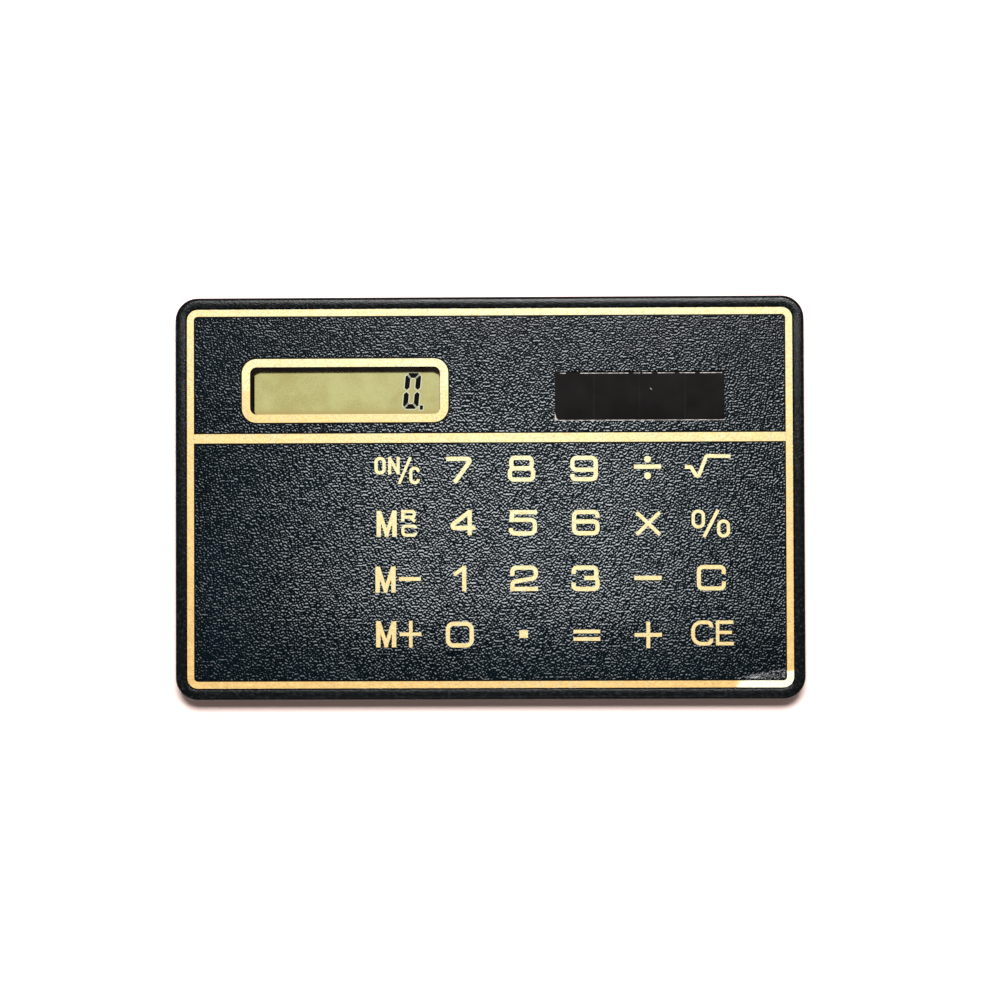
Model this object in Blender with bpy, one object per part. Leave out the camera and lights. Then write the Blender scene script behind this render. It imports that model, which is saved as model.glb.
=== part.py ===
"""Card-size solar pocket calculator, modelled as the pieces it comes apart into.

Metres, +Z up. The origin is the centre of the underside, +X runs along the long side towards
the root key and +Y towards the display, so the face looks up.

The case is a moulded tray. Its rim frames a leatherette face sheet, which lies on a key plate
that four screws pull down from below. Twenty-four silicone key pads reach up through the key
plate and the sheet, each held under the plate by its flange, and press a carbon pill on to the
circuit board. Heights are worked out upwards from the tray's floor, layer by layer.
"""

import math

import bmesh
import bpy
from mathutils import Vector

# Case tray
CASE_LENGTH = 0.0860
CASE_WIDTH = 0.0550
CASE_CORNER = 0.0030
RIM_WIDTH = 0.00135
RIM_ROUND = 0.00035
RIM_LIP = 0.00025
FLOOR_THICKNESS = 0.0007
EDGE_TUCK = 0.0012
EDGE_RISE = 0.0011

# Fits
SIDE_GAP = 0.0001
LAYER_GAP = 0.00005

# Face sheet and key plate
SHEET_THICKNESS = 0.0003
PLATE_THICKNESS = 0.0006

# Keypad: the outer keys' edges are measured from the case's sides
KEY_NAMES = (
    ("on_clear", "7", "8", "9", "divide", "root"),
    ("memory_recall", "4", "5", "6", "multiply", "percent"),
    ("memory_minus", "1", "2", "3", "minus", "clear"),
    ("memory_plus", "0", "point", "equals", "plus", "clear_entry"),
)
KEYPAD_LEFT = 0.0270
KEYPAD_RIGHT = 0.0094
KEYPAD_TOP = 0.02109
KEYPAD_BOTTOM = 0.00632
KEY_LAND_X = 0.00176
KEY_LAND_Y = 0.0024
KEY_CORNER = 0.0007
KEY_TRAVEL = 0.00025
FLANGE_LIP = 0.0004
FLANGE_THICKNESS = 0.0003
PILL_LENGTH = 0.0032
PILL_WIDTH = 0.0022
SKIRT_ROOM = 0.0004
WEB_THICKNESS = 0.0002
WEB_BORDER = 0.0006
OVERTRAVEL_ROOM = 0.0001

# Circuit board and the parts soldered to it
BOARD_THICKNESS = 0.0006
BOARD_STANDOFF = 0.0005
BOARD_BOSS_ROOM = 0.00075
BOARD_BOTTOM_ROOM = 0.0009
BOARD_CORNER = 0.0008
RIB_WIDTH = 0.0008
STAKE_RADIUS = 0.0007
STAKE_HEAD = 0.00015
STAKE_INSET = 0.0013
BLOB_RADIUS = 0.0042
BLOB_HEIGHT = 0.00065
BLOB_FROM_LEFT = 0.0145
BLOB_FROM_BOTTOM = 0.0195
CAPACITOR_SIZE = (0.0032, 0.0016, 0.00075)
RESISTOR_SIZE = (0.0020, 0.00125, 0.00050)
CLAMP_SIZE = (0.0020, 0.00125, 0.00070)
CHIP_PART_SPACING = 0.0042
CHIP_PARTS_DROP = 0.0080

# How the length beside the two windows is shared out: left of the display, right of the cell
LEFT_SHARE = 0.2775
RIGHT_SHARE = 0.2943

# Display
WINDOW_LENGTH = 0.0261
WINDOW_HEIGHT = 0.00642
WINDOW_CORNER = 0.0009
WINDOW_FROM_TOP = 0.01283
MASK_SHIFT = 0.0004
GLASS_LENGTH = 0.0300
GLASS_HEIGHT = 0.0080
GLASS_LEDGE = 0.0020
GLASS_THICKNESS = 0.0004
GLASS_CORNER = 0.00025
FILM_THICKNESS = 0.00015
FILM_LENGTH = 0.0286
FILM_HEIGHT = 0.0074
PAD_LENGTH = 0.0270
PAD_HEIGHT = 0.0060
LOCATOR_WIDTH = 0.0009
LOCATOR_DEPTH = 0.0010
RIBBON_LENGTH = 0.0260
RIBBON_THICKNESS = 0.00010
RIBBON_TAIL = 0.0008
RIBBON_RUN = 0.0007

# Solar cell
SOLAR_WINDOW_LENGTH = 0.0232
SOLAR_WINDOW_HEIGHT = 0.0067
SOLAR_WINDOW_CORNER = 0.0003
SOLAR_FROM_TOP = 0.01355
SOLAR_OVERLAP = 0.0009
SOLAR_THICKNESS = 0.0011
SOLAR_PAD_LENGTH = 0.0150
SOLAR_PAD_HEIGHT = 0.0055
LEAD_RADIUS = 0.0002
LEAD_SWING = 0.0036
LEAD_ON_CELL = 0.0016
LEAD_ON_BOARD = 0.0013

# Screws and their bosses
BOSS_RADIUS = 0.0016
BOSS_INSET = 0.0024
SEAT_RADIUS = 0.0022
SCREW_RADIUS = 0.00055
SCREW_HEAD_RADIUS = 0.0012
SCREW_HEAD_HEIGHT = 0.0006
SCREW_SINK = 0.0001
SCREW_LENGTH = 0.0026
SCREW_TIP = 0.0003
CROSS_LENGTH = 0.0012
CROSS_WIDTH = 0.00028
CROSS_DEPTH = 0.00035

# Facets
CASE_STEPS = 5
KEY_STEPS = 2
ROUND_SIDES = 16
OVERLAP = 0.0002
LEAD_POINTS = 12

# Worked out: the room inside the rim
INNER_LENGTH = CASE_LENGTH - 2 * RIM_WIDTH
INNER_WIDTH = CASE_WIDTH - 2 * RIM_WIDTH
INNER_CORNER = max(CASE_CORNER - RIM_WIDTH, 0.0002)

# Worked out: heights
RIB_TOP = FLOOR_THICKNESS + BOARD_STANDOFF
BOARD_BOTTOM = RIB_TOP + LAYER_GAP
BOARD_TOP = BOARD_BOTTOM + BOARD_THICKNESS
WEB_BOTTOM = BOARD_TOP + LAYER_GAP
WEB_TOP = WEB_BOTTOM + WEB_THICKNESS
FLANGE_BOTTOM = WEB_TOP + KEY_TRAVEL + OVERTRAVEL_ROOM
FLANGE_TOP = FLANGE_BOTTOM + FLANGE_THICKNESS
PILL_BOTTOM = BOARD_TOP + KEY_TRAVEL + LAYER_GAP
PLATE_BOTTOM = FLANGE_TOP + LAYER_GAP
PLATE_TOP = PLATE_BOTTOM + PLATE_THICKNESS
SHEET_BOTTOM = PLATE_TOP + LAYER_GAP
SHEET_TOP = SHEET_BOTTOM + SHEET_THICKNESS
CASE_HEIGHT = SHEET_TOP + RIM_LIP
SCREW_SEAT_TOP = RIB_TOP
SOLAR_TOP = PLATE_TOP
SOLAR_BOTTOM = SOLAR_TOP - SOLAR_THICKNESS

# Worked out: places
KEY_PITCH_X = (CASE_LENGTH - KEYPAD_LEFT - KEYPAD_RIGHT + KEY_LAND_X) / len(KEY_NAMES[0])
KEY_PITCH_Y = (CASE_WIDTH - KEYPAD_TOP - KEYPAD_BOTTOM + KEY_LAND_Y) / len(KEY_NAMES)
KEY_LENGTH = KEY_PITCH_X - KEY_LAND_X
KEY_WIDTH = KEY_PITCH_Y - KEY_LAND_Y
SPARE_LENGTH = CASE_LENGTH - WINDOW_LENGTH - SOLAR_WINDOW_LENGTH
WINDOW_CENTRE = Vector(
    (
        LEFT_SHARE * SPARE_LENGTH + WINDOW_LENGTH / 2 - CASE_LENGTH / 2,
        CASE_WIDTH / 2 - WINDOW_FROM_TOP,
    )
)
SOLAR_CENTRE = Vector(
    (
        CASE_LENGTH / 2 - RIGHT_SHARE * SPARE_LENGTH - SOLAR_WINDOW_LENGTH / 2,
        CASE_WIDTH / 2 - SOLAR_FROM_TOP,
    )
)
SOLAR_LENGTH = SOLAR_WINDOW_LENGTH + 2 * SOLAR_OVERLAP
SOLAR_HEIGHT = SOLAR_WINDOW_HEIGHT + 2 * SOLAR_OVERLAP
BOSS_X = INNER_LENGTH / 2 - BOSS_INSET
BOSS_Y = INNER_WIDTH / 2 - BOSS_INSET
REAR_GLASS_LOW_Y = WINDOW_CENTRE.y - GLASS_HEIGHT / 2 + MASK_SHIFT
BOARD_LENGTH = 2 * (BOSS_X - BOSS_RADIUS - BOARD_BOSS_ROOM)
BOARD_LOW_Y = BOARD_BOTTOM_ROOM - INNER_WIDTH / 2
BOARD_HIGH_Y = REAR_GLASS_LOW_Y - 6 * SIDE_GAP
BOARD_CENTRE_Y = (BOARD_LOW_Y + BOARD_HIGH_Y) / 2
BOARD_WIDTH = BOARD_HIGH_Y - BOARD_LOW_Y

KEY_CENTRES = {
    f"key_{name}": Vector(
        (
            KEYPAD_LEFT + KEY_LENGTH / 2 - CASE_LENGTH / 2 + column * KEY_PITCH_X,
            CASE_WIDTH / 2 - KEYPAD_TOP - KEY_WIDTH / 2 - row * KEY_PITCH_Y,
        )
    )
    for row, names in enumerate(KEY_NAMES)
    for column, name in enumerate(names)
}
CORNERS = {
    "front_left": Vector((-BOSS_X, -BOSS_Y)),
    "front_right": Vector((BOSS_X, -BOSS_Y)),
    "back_left": Vector((-BOSS_X, BOSS_Y)),
    "back_right": Vector((BOSS_X, BOSS_Y)),
}
STAKES = [
    Vector((side * (BOARD_LENGTH / 2 - STAKE_INSET), y))
    for side in (-1, 1)
    for y in (BOARD_LOW_Y + STAKE_INSET, KEY_CENTRES["key_root"].y)
]


# ---- Helpers ----


def clear_scene():
    for thing in list(bpy.data.objects):
        bpy.data.objects.remove(thing, do_unlink=True)


def material(name, colour, roughness, metallic=0.0):
    made = bpy.data.materials.new(name)
    made.use_nodes = True
    made.diffuse_color = (*colour, 1.0)
    shader = made.node_tree.nodes["Principled BSDF"]
    shader.inputs["Base Color"].default_value = (*colour, 1.0)
    shader.inputs["Roughness"].default_value = roughness
    shader.inputs["Metallic"].default_value = metallic
    return made


def outline(length, width, corner, steps, centre=(0, 0)):
    """Points of a rectangle with round corners, anticlockwise from the lower right corner."""
    radius = min(corner, length / 2 - OVERLAP / 10, width / 2 - OVERLAP / 10)
    points = []
    for quarter, (sx, sy) in enumerate(((1, -1), (1, 1), (-1, 1), (-1, -1))):
        hub = Vector((sx * (length / 2 - radius), sy * (width / 2 - radius)))
        for step in range(steps + 1):
            angle = math.radians(90 * (quarter - 1 + step / steps))
            points.append(hub + radius * Vector((math.cos(angle), math.sin(angle))) + Vector(centre))
    return points


def circle(radius, centre=(0, 0), sides=ROUND_SIDES):
    turns = [math.tau * side / sides for side in range(sides)]
    return [Vector(centre) + radius * Vector((math.cos(turn), math.sin(turn))) for turn in turns]


def add_loop(bm, points, height):
    return [bm.verts.new((point.x, point.y, height)) for point in points]


def loft(levels):
    """A closed mesh through loops of equal length. Each level is (points, height)."""
    bm = bmesh.new()
    loops = [add_loop(bm, points, height) for points, height in levels]
    count = len(loops[0])
    for below, above in zip(loops, loops[1:]):
        for i in range(count):
            j = (i + 1) % count
            bm.faces.new((below[i], below[j], above[j], above[i]))
    bm.faces.new(reversed(loops[0]))
    bm.faces.new(loops[-1])
    bmesh.ops.recalc_face_normals(bm, faces=bm.faces)
    return bm


def plate(border, holes, low, high):
    """A flat plate between two heights, with holes through it."""
    bm = bmesh.new()
    for points in (border, *holes):
        loop = add_loop(bm, points, low)
        for i, vertex in enumerate(loop):
            bm.edges.new((vertex, loop[(i + 1) % len(loop)]))
    filled = bmesh.ops.triangle_fill(bm, use_beauty=True, edges=bm.edges, normal=(0, 0, 1))
    faces = [piece for piece in filled["geom"] if isinstance(piece, bmesh.types.BMFace)]
    raised = bmesh.ops.extrude_face_region(bm, geom=faces, use_keep_orig=True)
    vertices = [piece for piece in raised["geom"] if isinstance(piece, bmesh.types.BMVert)]
    bmesh.ops.translate(bm, vec=(0, 0, high - low), verts=vertices)
    bmesh.ops.recalc_face_normals(bm, faces=bm.faces)
    return bm


def turned(profile, sides=ROUND_SIDES):
    """A solid turned about Z from (radius, height) points that run upwards."""
    return loft([(circle(radius, sides=sides), height) for radius, height in profile])


def joined(*pieces):
    """One mesh that holds several closed shells. Each piece is (bmesh, offset)."""
    whole = bmesh.new()
    for piece, offset in pieces:
        bmesh.ops.translate(piece, vec=offset, verts=piece.verts)
        held = bpy.data.meshes.new("held")
        piece.to_mesh(held)
        piece.free()
        whole.from_mesh(held)
        bpy.data.meshes.remove(held)
    return whole


def block(size, centre, low, high):
    return loft([(outline(*size, OVERLAP / 10, 1, centre), level) for level in (low, high)])


def add_object(name, bm, look, location=(0, 0, 0)):
    mesh = bpy.data.meshes.new(name)
    bm.to_mesh(mesh)
    bm.free()
    return add_copy(name, mesh, look, location)


def add_copy(name, mesh, look, location):
    thing = bpy.data.objects.new(name, mesh)
    if look and not mesh.materials:
        mesh.materials.append(look)
    thing.location = location
    bpy.context.scene.collection.objects.link(thing)
    return thing


def smooth(thing, degrees=35):
    thing.data.shade_smooth()
    thing.data.set_sharp_from_angle(angle=math.radians(degrees))


def boolean(thing, operation, helper_name, bm):
    """Joins a hidden helper mesh to the object, or cuts it away."""
    helper = add_object(helper_name, bm, None)
    helper.hide_render = True
    helper.display_type = "WIRE"
    modifier = thing.modifiers.new(helper_name, "BOOLEAN")
    modifier.operation = operation
    modifier.solver = "EXACT"
    modifier.object = helper


# ---- Housing ----


def case_levels():
    """Loops of the tray, from the middle of the underside out, up and over the rim, and in to the floor."""

    def ring(inset, height):
        points = outline(
            CASE_LENGTH - 2 * inset,
            CASE_WIDTH - 2 * inset,
            max(CASE_CORNER - inset, INNER_CORNER),
            CASE_STEPS,
        )
        return points, height

    levels = [ring(EDGE_TUCK, 0)]
    for step in (1, 2, 3):
        angle = math.radians(30 * step)
        levels.append(ring(EDGE_TUCK * (1 - math.sin(angle)), EDGE_RISE * (1 - math.cos(angle))))
    for step in (0, 1, 2):
        angle = math.radians(45 * step)
        levels.append(
            ring(RIM_ROUND * (1 - math.cos(angle)), CASE_HEIGHT - RIM_ROUND * (1 - math.sin(angle)))
        )
    levels.append(ring(RIM_WIDTH - RIM_LIP / 2, CASE_HEIGHT))
    levels.append(ring(RIM_WIDTH, CASE_HEIGHT - RIM_LIP / 2))
    levels.append(ring(RIM_WIDTH, FLOOR_THICKNESS))
    return levels


def rib_ys():
    """Three ribs carry the board, one near each long side of it and one in the middle."""
    inset = STAKE_INSET / 2
    return (BOARD_LOW_Y + inset, BOARD_CENTRE_Y, BOARD_HIGH_Y - inset)


def rear_case(look):
    tray = add_object("rear_case", loft(case_levels()), look)
    low = FLOOR_THICKNESS - OVERLAP
    rib_length = BOARD_LENGTH - 4 * STAKE_INSET
    ribs = [(block((rib_length, RIB_WIDTH), (0, y), low, RIB_TOP), (0, 0, 0)) for y in rib_ys()]
    shoulder = STAKE_RADIUS + 2 * SIDE_GAP + RIB_WIDTH / 2
    stakes = [
        (
            turned(
                (
                    (shoulder, low),
                    (shoulder, RIB_TOP),
                    (STAKE_RADIUS, RIB_TOP + LAYER_GAP / 2),
                    (STAKE_RADIUS, BOARD_TOP + STAKE_HEAD),
                ),
                sides=10,
            ),
            place.to_3d(),
        )
        for place in STAKES
    ]
    seats = [
        (turned(((SEAT_RADIUS, low), (SEAT_RADIUS, SCREW_SEAT_TOP))), place.to_3d())
        for place in CORNERS.values()
    ]
    boolean(tray, "UNION", "case_inside", joined(*ribs, *stakes, *seats))
    gap = SIDE_GAP / 2
    head = SCREW_HEAD_RADIUS + gap
    neck = SCREW_RADIUS + gap
    rise = SCREW_SINK + SCREW_HEAD_HEIGHT + gap
    countersink = (
        (head, -OVERLAP),
        (head, SCREW_SINK + gap),
        (neck, rise),
        (neck, SCREW_SEAT_TOP + OVERLAP),
    )
    holes = [(turned(countersink), place.to_3d()) for place in CORNERS.values()]
    boolean(tray, "DIFFERENCE", "case_screw_holes", joined(*holes))
    smooth(tray)


def key_holes(room, steps=KEY_STEPS):
    return [
        outline(KEY_LENGTH + 2 * room, KEY_WIDTH + 2 * room, KEY_CORNER + room, steps, centre)
        for centre in KEY_CENTRES.values()
    ]


def front_plate(look):
    """The stiff key plate. Its display opening is set over a little, so it shows on two sides."""
    border = outline(
        INNER_LENGTH - 2 * SIDE_GAP,
        INNER_WIDTH - 2 * SIDE_GAP,
        INNER_CORNER,
        CASE_STEPS,
    )
    mask_centre = WINDOW_CENTRE + Vector((MASK_SHIFT, -MASK_SHIFT)) / 2
    display = outline(
        WINDOW_LENGTH - MASK_SHIFT,
        WINDOW_HEIGHT - MASK_SHIFT,
        WINDOW_CORNER,
        KEY_STEPS,
        mask_centre,
    )
    solar = outline(
        SOLAR_LENGTH + 2 * SIDE_GAP,
        SOLAR_HEIGHT + 2 * SIDE_GAP,
        SOLAR_WINDOW_CORNER,
        1,
        SOLAR_CENTRE,
    )
    holes = [display, solar, *key_holes(SIDE_GAP)]
    thing = add_object("front_plate", plate(border, holes, PLATE_BOTTOM, PLATE_TOP), look)

    top = PLATE_BOTTOM + OVERLAP
    bosses = [
        (turned(((BOSS_RADIUS, SCREW_SEAT_TOP + LAYER_GAP), (BOSS_RADIUS, top))), place.to_3d())
        for place in CORNERS.values()
    ]
    reach = GLASS_LENGTH / 2 + SIDE_GAP + LOCATOR_WIDTH / 2
    locators = [
        (
            block(
                (LOCATOR_WIDTH, GLASS_HEIGHT),
                (WINDOW_CENTRE.x + side * reach, WINDOW_CENTRE.y),
                PLATE_BOTTOM - LOCATOR_DEPTH,
                top,
            ),
            (0, 0, 0),
        )
        for side in (-1, 1)
    ]
    boolean(thing, "UNION", "plate_underside", joined(*bosses, *locators))
    pilot = SCREW_RADIUS + SIDE_GAP / 2
    depth = SCREW_SINK + SCREW_LENGTH + LAYER_GAP
    pilots = [
        (turned(((pilot, SCREW_SEAT_TOP), (pilot, depth))), place.to_3d())
        for place in CORNERS.values()
    ]
    boolean(thing, "DIFFERENCE", "plate_pilot_holes", joined(*pilots))
    smooth(thing)


def face_sheet(look):
    border = outline(
        INNER_LENGTH - 2 * SIDE_GAP,
        INNER_WIDTH - 2 * SIDE_GAP,
        INNER_CORNER,
        CASE_STEPS,
    )
    display = outline(WINDOW_LENGTH, WINDOW_HEIGHT, WINDOW_CORNER, KEY_STEPS, WINDOW_CENTRE)
    solar = outline(
        SOLAR_WINDOW_LENGTH,
        SOLAR_WINDOW_HEIGHT,
        SOLAR_WINDOW_CORNER,
        1,
        SOLAR_CENTRE,
    )
    holes = [display, solar, *key_holes(SIDE_GAP)]
    add_object("face_sheet", plate(border, holes, SHEET_BOTTOM, SHEET_TOP), look)


def screws(look):
    profile = (
        (SCREW_HEAD_RADIUS, SCREW_SINK),
        (SCREW_RADIUS, SCREW_SINK + SCREW_HEAD_HEIGHT),
        (SCREW_RADIUS, SCREW_SINK + SCREW_LENGTH - SCREW_TIP),
        (SCREW_RADIUS / 2, SCREW_SINK + SCREW_LENGTH - LAYER_GAP),
    )
    for corner, place in CORNERS.items():
        screw = add_object(f"screw_{corner}", turned(profile, sides=12), look, place.to_3d())
        low = SCREW_SINK - OVERLAP
        high = SCREW_SINK + CROSS_DEPTH
        bars = [
            (block(size, (0, 0), low, high), (0, 0, 0))
            for size in ((CROSS_LENGTH, CROSS_WIDTH), (CROSS_WIDTH, CROSS_LENGTH))
        ]
        for number, bar in enumerate(bars):
            boolean(screw, "DIFFERENCE", f"cross_{corner}_{number}", joined(bar))
            screw.modifiers[-1].object.parent = screw
        smooth(screw)


# ---- Keypad ----


def key_pads(look):
    """One pad mesh shared by all keys. Its origin is on the pad's axis, at the board's top face."""

    def ring(length, width, corner, height):
        return outline(length, width, corner, KEY_STEPS), height - BOARD_TOP

    flange = (
        KEY_LENGTH + 2 * (SIDE_GAP + FLANGE_LIP),
        KEY_WIDTH + 2 * (SIDE_GAP + FLANGE_LIP),
        KEY_CORNER + SIDE_GAP + FLANGE_LIP,
    )
    post = (KEY_LENGTH, KEY_WIDTH, KEY_CORNER)
    pill = (PILL_LENGTH, PILL_WIDTH, PILL_WIDTH / 2)
    levels = [
        ring(*pill, PILL_BOTTOM),
        ring(*pill, FLANGE_BOTTOM),
        ring(*flange, FLANGE_BOTTOM),
        ring(*flange, FLANGE_TOP),
        ring(*post, FLANGE_TOP),
        ring(*post, SHEET_TOP),
    ]
    shared = None
    for name, centre in KEY_CENTRES.items():
        place = (centre.x, centre.y, BOARD_TOP)
        if shared is None:
            shared = add_object(name, loft(levels), look, place).data
        else:
            add_copy(name, shared, look, place)


def keypad_web(look):
    """The silicone mat's flat web between the pads, open under each pad for its carbon pill."""
    centres = list(KEY_CENTRES.values())
    span_x = centres[-1].x - centres[0].x + KEY_PITCH_X - KEY_LAND_X + 2 * WEB_BORDER
    span_y = centres[0].y - centres[-1].y + KEY_PITCH_Y - KEY_LAND_Y + 2 * WEB_BORDER
    middle = (centres[0] + centres[-1]) / 2
    border = outline(span_x, span_y, WEB_BORDER, KEY_STEPS, middle)
    openings = [
        outline(
            PILL_LENGTH + 2 * SKIRT_ROOM,
            PILL_WIDTH + 2 * SKIRT_ROOM,
            PILL_WIDTH / 2 + SKIRT_ROOM,
            KEY_STEPS,
            centre,
        )
        for centre in centres
    ]
    add_object("keypad_web", plate(border, openings, WEB_BOTTOM, WEB_TOP), look)


# ---- Electronics ----


def circuit_board(look):
    centre = (0, BOARD_CENTRE_Y)
    border = outline(BOARD_LENGTH, BOARD_WIDTH, BOARD_CORNER, 2, centre)
    holes = [circle(STAKE_RADIUS + 2 * SIDE_GAP, place, sides=10) for place in STAKES]
    add_object("circuit_board", plate(border, holes, BOARD_BOTTOM, BOARD_TOP), look)


def blob_place():
    return Vector((BLOB_FROM_LEFT - CASE_LENGTH / 2, BLOB_FROM_BOTTOM - CASE_WIDTH / 2))


def chip_blob(look):
    """A low dome of epoxy over the bare chip."""
    steps = 4
    base = BOARD_TOP + LAYER_GAP
    turns = [math.radians(80 * step / steps) for step in range(steps + 1)]
    profile = [(BLOB_RADIUS * math.cos(a), base + BLOB_HEIGHT * math.sin(a)) for a in turns]
    dome = add_object("chip_blob", turned(profile, sides=24), look, blob_place().to_3d())
    smooth(dome, 60)


def chip_parts(looks):
    """Three surface-mount parts in a row beside the chip."""
    base = BOARD_TOP + LAYER_GAP
    sizes = (CAPACITOR_SIZE, RESISTOR_SIZE, CLAMP_SIZE)
    names = ("smoothing_capacitor", "clock_resistor", "voltage_clamp_led")
    for number, (name, size, look) in enumerate(zip(names, sizes, looks)):
        length, width, height = size
        place = blob_place() + Vector(((number - 1) * CHIP_PART_SPACING, -CHIP_PARTS_DROP))
        levels = [(outline(length, width, width / 8, 2), level) for level in (base, base + height)]
        add_object(name, loft(levels), look, place.to_3d())


def display(looks):
    """Polariser, front glass, rear glass, reflector and foam pad, stacked down from the key plate."""
    x = WINDOW_CENTRE.x
    y = WINDOW_CENTRE.y + MASK_SHIFT
    gap = LAYER_GAP / 2
    front_high = PLATE_BOTTOM - gap - FILM_THICKNESS - gap
    rear_high = front_high - GLASS_THICKNESS - gap
    reflector_high = rear_high - GLASS_THICKNESS - gap
    reflector_low = reflector_high - FILM_THICKNESS
    front_centre = (x, y - GLASS_LEDGE / 2)
    layers = (
        ("lcd_polariser", (FILM_LENGTH, FILM_HEIGHT), (x, y), front_high + gap, FILM_THICKNESS),
        (
            "lcd_front_glass",
            (GLASS_LENGTH, GLASS_HEIGHT + GLASS_LEDGE),
            front_centre,
            front_high - GLASS_THICKNESS,
            GLASS_THICKNESS,
        ),
        (
            "lcd_rear_glass",
            (GLASS_LENGTH, GLASS_HEIGHT),
            (x, y),
            rear_high - GLASS_THICKNESS,
            GLASS_THICKNESS,
        ),
        ("lcd_reflector", (FILM_LENGTH, FILM_HEIGHT), (x, y), reflector_low, FILM_THICKNESS),
        (
            "lcd_foam_pad",
            (PAD_LENGTH, PAD_HEIGHT),
            (x, y),
            FLOOR_THICKNESS + gap,
            reflector_low - FLOOR_THICKNESS - 2 * gap,
        ),
    )
    for (name, size, centre, low, thickness), look in zip(layers, looks):
        ends = [(outline(*size, GLASS_CORNER, 2, centre), level) for level in (low, low + thickness)]
        add_object(name, loft(ends), look)
    return front_high - GLASS_THICKNESS


def lcd_ribbon(look, ledge_underside):
    """A heat-sealed ribbon from under the front glass's ledge down to the board's top edge."""
    gap = LAYER_GAP / 2
    bonded_high = ledge_underside - gap
    board_high = BOARD_TOP + gap + RIBBON_THICKNESS
    start = REAR_GLASS_LOW_Y - 2 * SIDE_GAP
    bend = start - RIBBON_TAIL
    landing = bend - RIBBON_RUN
    steps = 6
    line = [(start, bonded_high)]
    for step in range(steps + 1):
        share = step / steps
        ease = (1 - math.cos(math.pi * share)) / 2
        line.append((bend + (landing - bend) * share, bonded_high + (board_high - bonded_high) * ease))
    line.append((landing - RIBBON_TAIL, board_high))
    profile = line + [(y, z - RIBBON_THICKNESS) for y, z in reversed(line)]
    bm = bmesh.new()
    sides = []
    for side in (-1, 1):
        x = WINDOW_CENTRE.x + side * RIBBON_LENGTH / 2
        sides.append([bm.verts.new((x, y, z)) for y, z in profile])
    count = len(profile)
    for i in range(count):
        j = (i + 1) % count
        bm.faces.new((sides[0][i], sides[0][j], sides[1][j], sides[1][i]))
    half = len(line)
    for side in sides:
        for i in range(half - 1):
            bm.faces.new((side[i], side[i + 1], side[count - 2 - i], side[count - 1 - i]))
    bmesh.ops.recalc_face_normals(bm, faces=bm.faces)
    add_object("lcd_ribbon", bm, look)


def solar_cell(look, pad_look):
    levels = [
        (outline(SOLAR_LENGTH, SOLAR_HEIGHT, SOLAR_WINDOW_CORNER, 1, SOLAR_CENTRE), level)
        for level in (SOLAR_BOTTOM, SOLAR_TOP)
    ]
    add_object("solar_cell", loft(levels), look)
    gap = LAYER_GAP / 2
    pad_size = (SOLAR_PAD_LENGTH, SOLAR_PAD_HEIGHT)
    levels = [
        (outline(*pad_size, GLASS_CORNER, 2, SOLAR_CENTRE), level)
        for level in (FLOOR_THICKNESS + gap, SOLAR_BOTTOM - gap)
    ]
    add_object("solar_foam_pad", loft(levels), pad_look)


def eased_line(start, lean_start, end, lean_end):
    """Points of a cubic curve that leaves start along lean_start and meets end along lean_end."""
    handles = (start, start + lean_start, end + lean_end, end)
    points = []
    for step in range(LEAD_POINTS + 1):
        t = step / LEAD_POINTS
        weights = ((1 - t) ** 3, 3 * t * (1 - t) ** 2, 3 * t * t * (1 - t), t**3)
        points.append(sum((w * h for w, h in zip(weights, handles)), Vector((0, 0, 0))))
    return points


def solar_lead(name, side, look):
    """A thin wire from one end of the cell's back, round to the board's top face."""
    end_x = SOLAR_CENTRE.x + side * (SOLAR_LENGTH / 2 - LEAD_ON_CELL)
    cell_z = SOLAR_BOTTOM - LAYER_GAP - LEAD_RADIUS
    board_z = BOARD_TOP + LAYER_GAP + LEAD_RADIUS
    start = Vector((end_x, SOLAR_CENTRE.y, cell_z))
    end = Vector((end_x, BOARD_HIGH_Y - LEAD_ON_BOARD, board_z))
    reach = (start.y - end.y) / 2
    points = eased_line(start, Vector((side * LEAD_SWING, 0, 0)), end, Vector((side * reach, reach, 0)))
    curve = bpy.data.curves.new(name, "CURVE")
    curve.dimensions = "3D"
    spline = curve.splines.new("POLY")
    spline.points.add(len(points) - 1)
    for target, point in zip(spline.points, points):
        target.co = (*point, 1.0)
    curve.bevel_depth = LEAD_RADIUS
    curve.bevel_resolution = 2
    curve.use_fill_caps = True
    curve.materials.append(look)
    wire = bpy.data.objects.new(name, curve)
    bpy.context.scene.collection.objects.link(wire)


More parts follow.
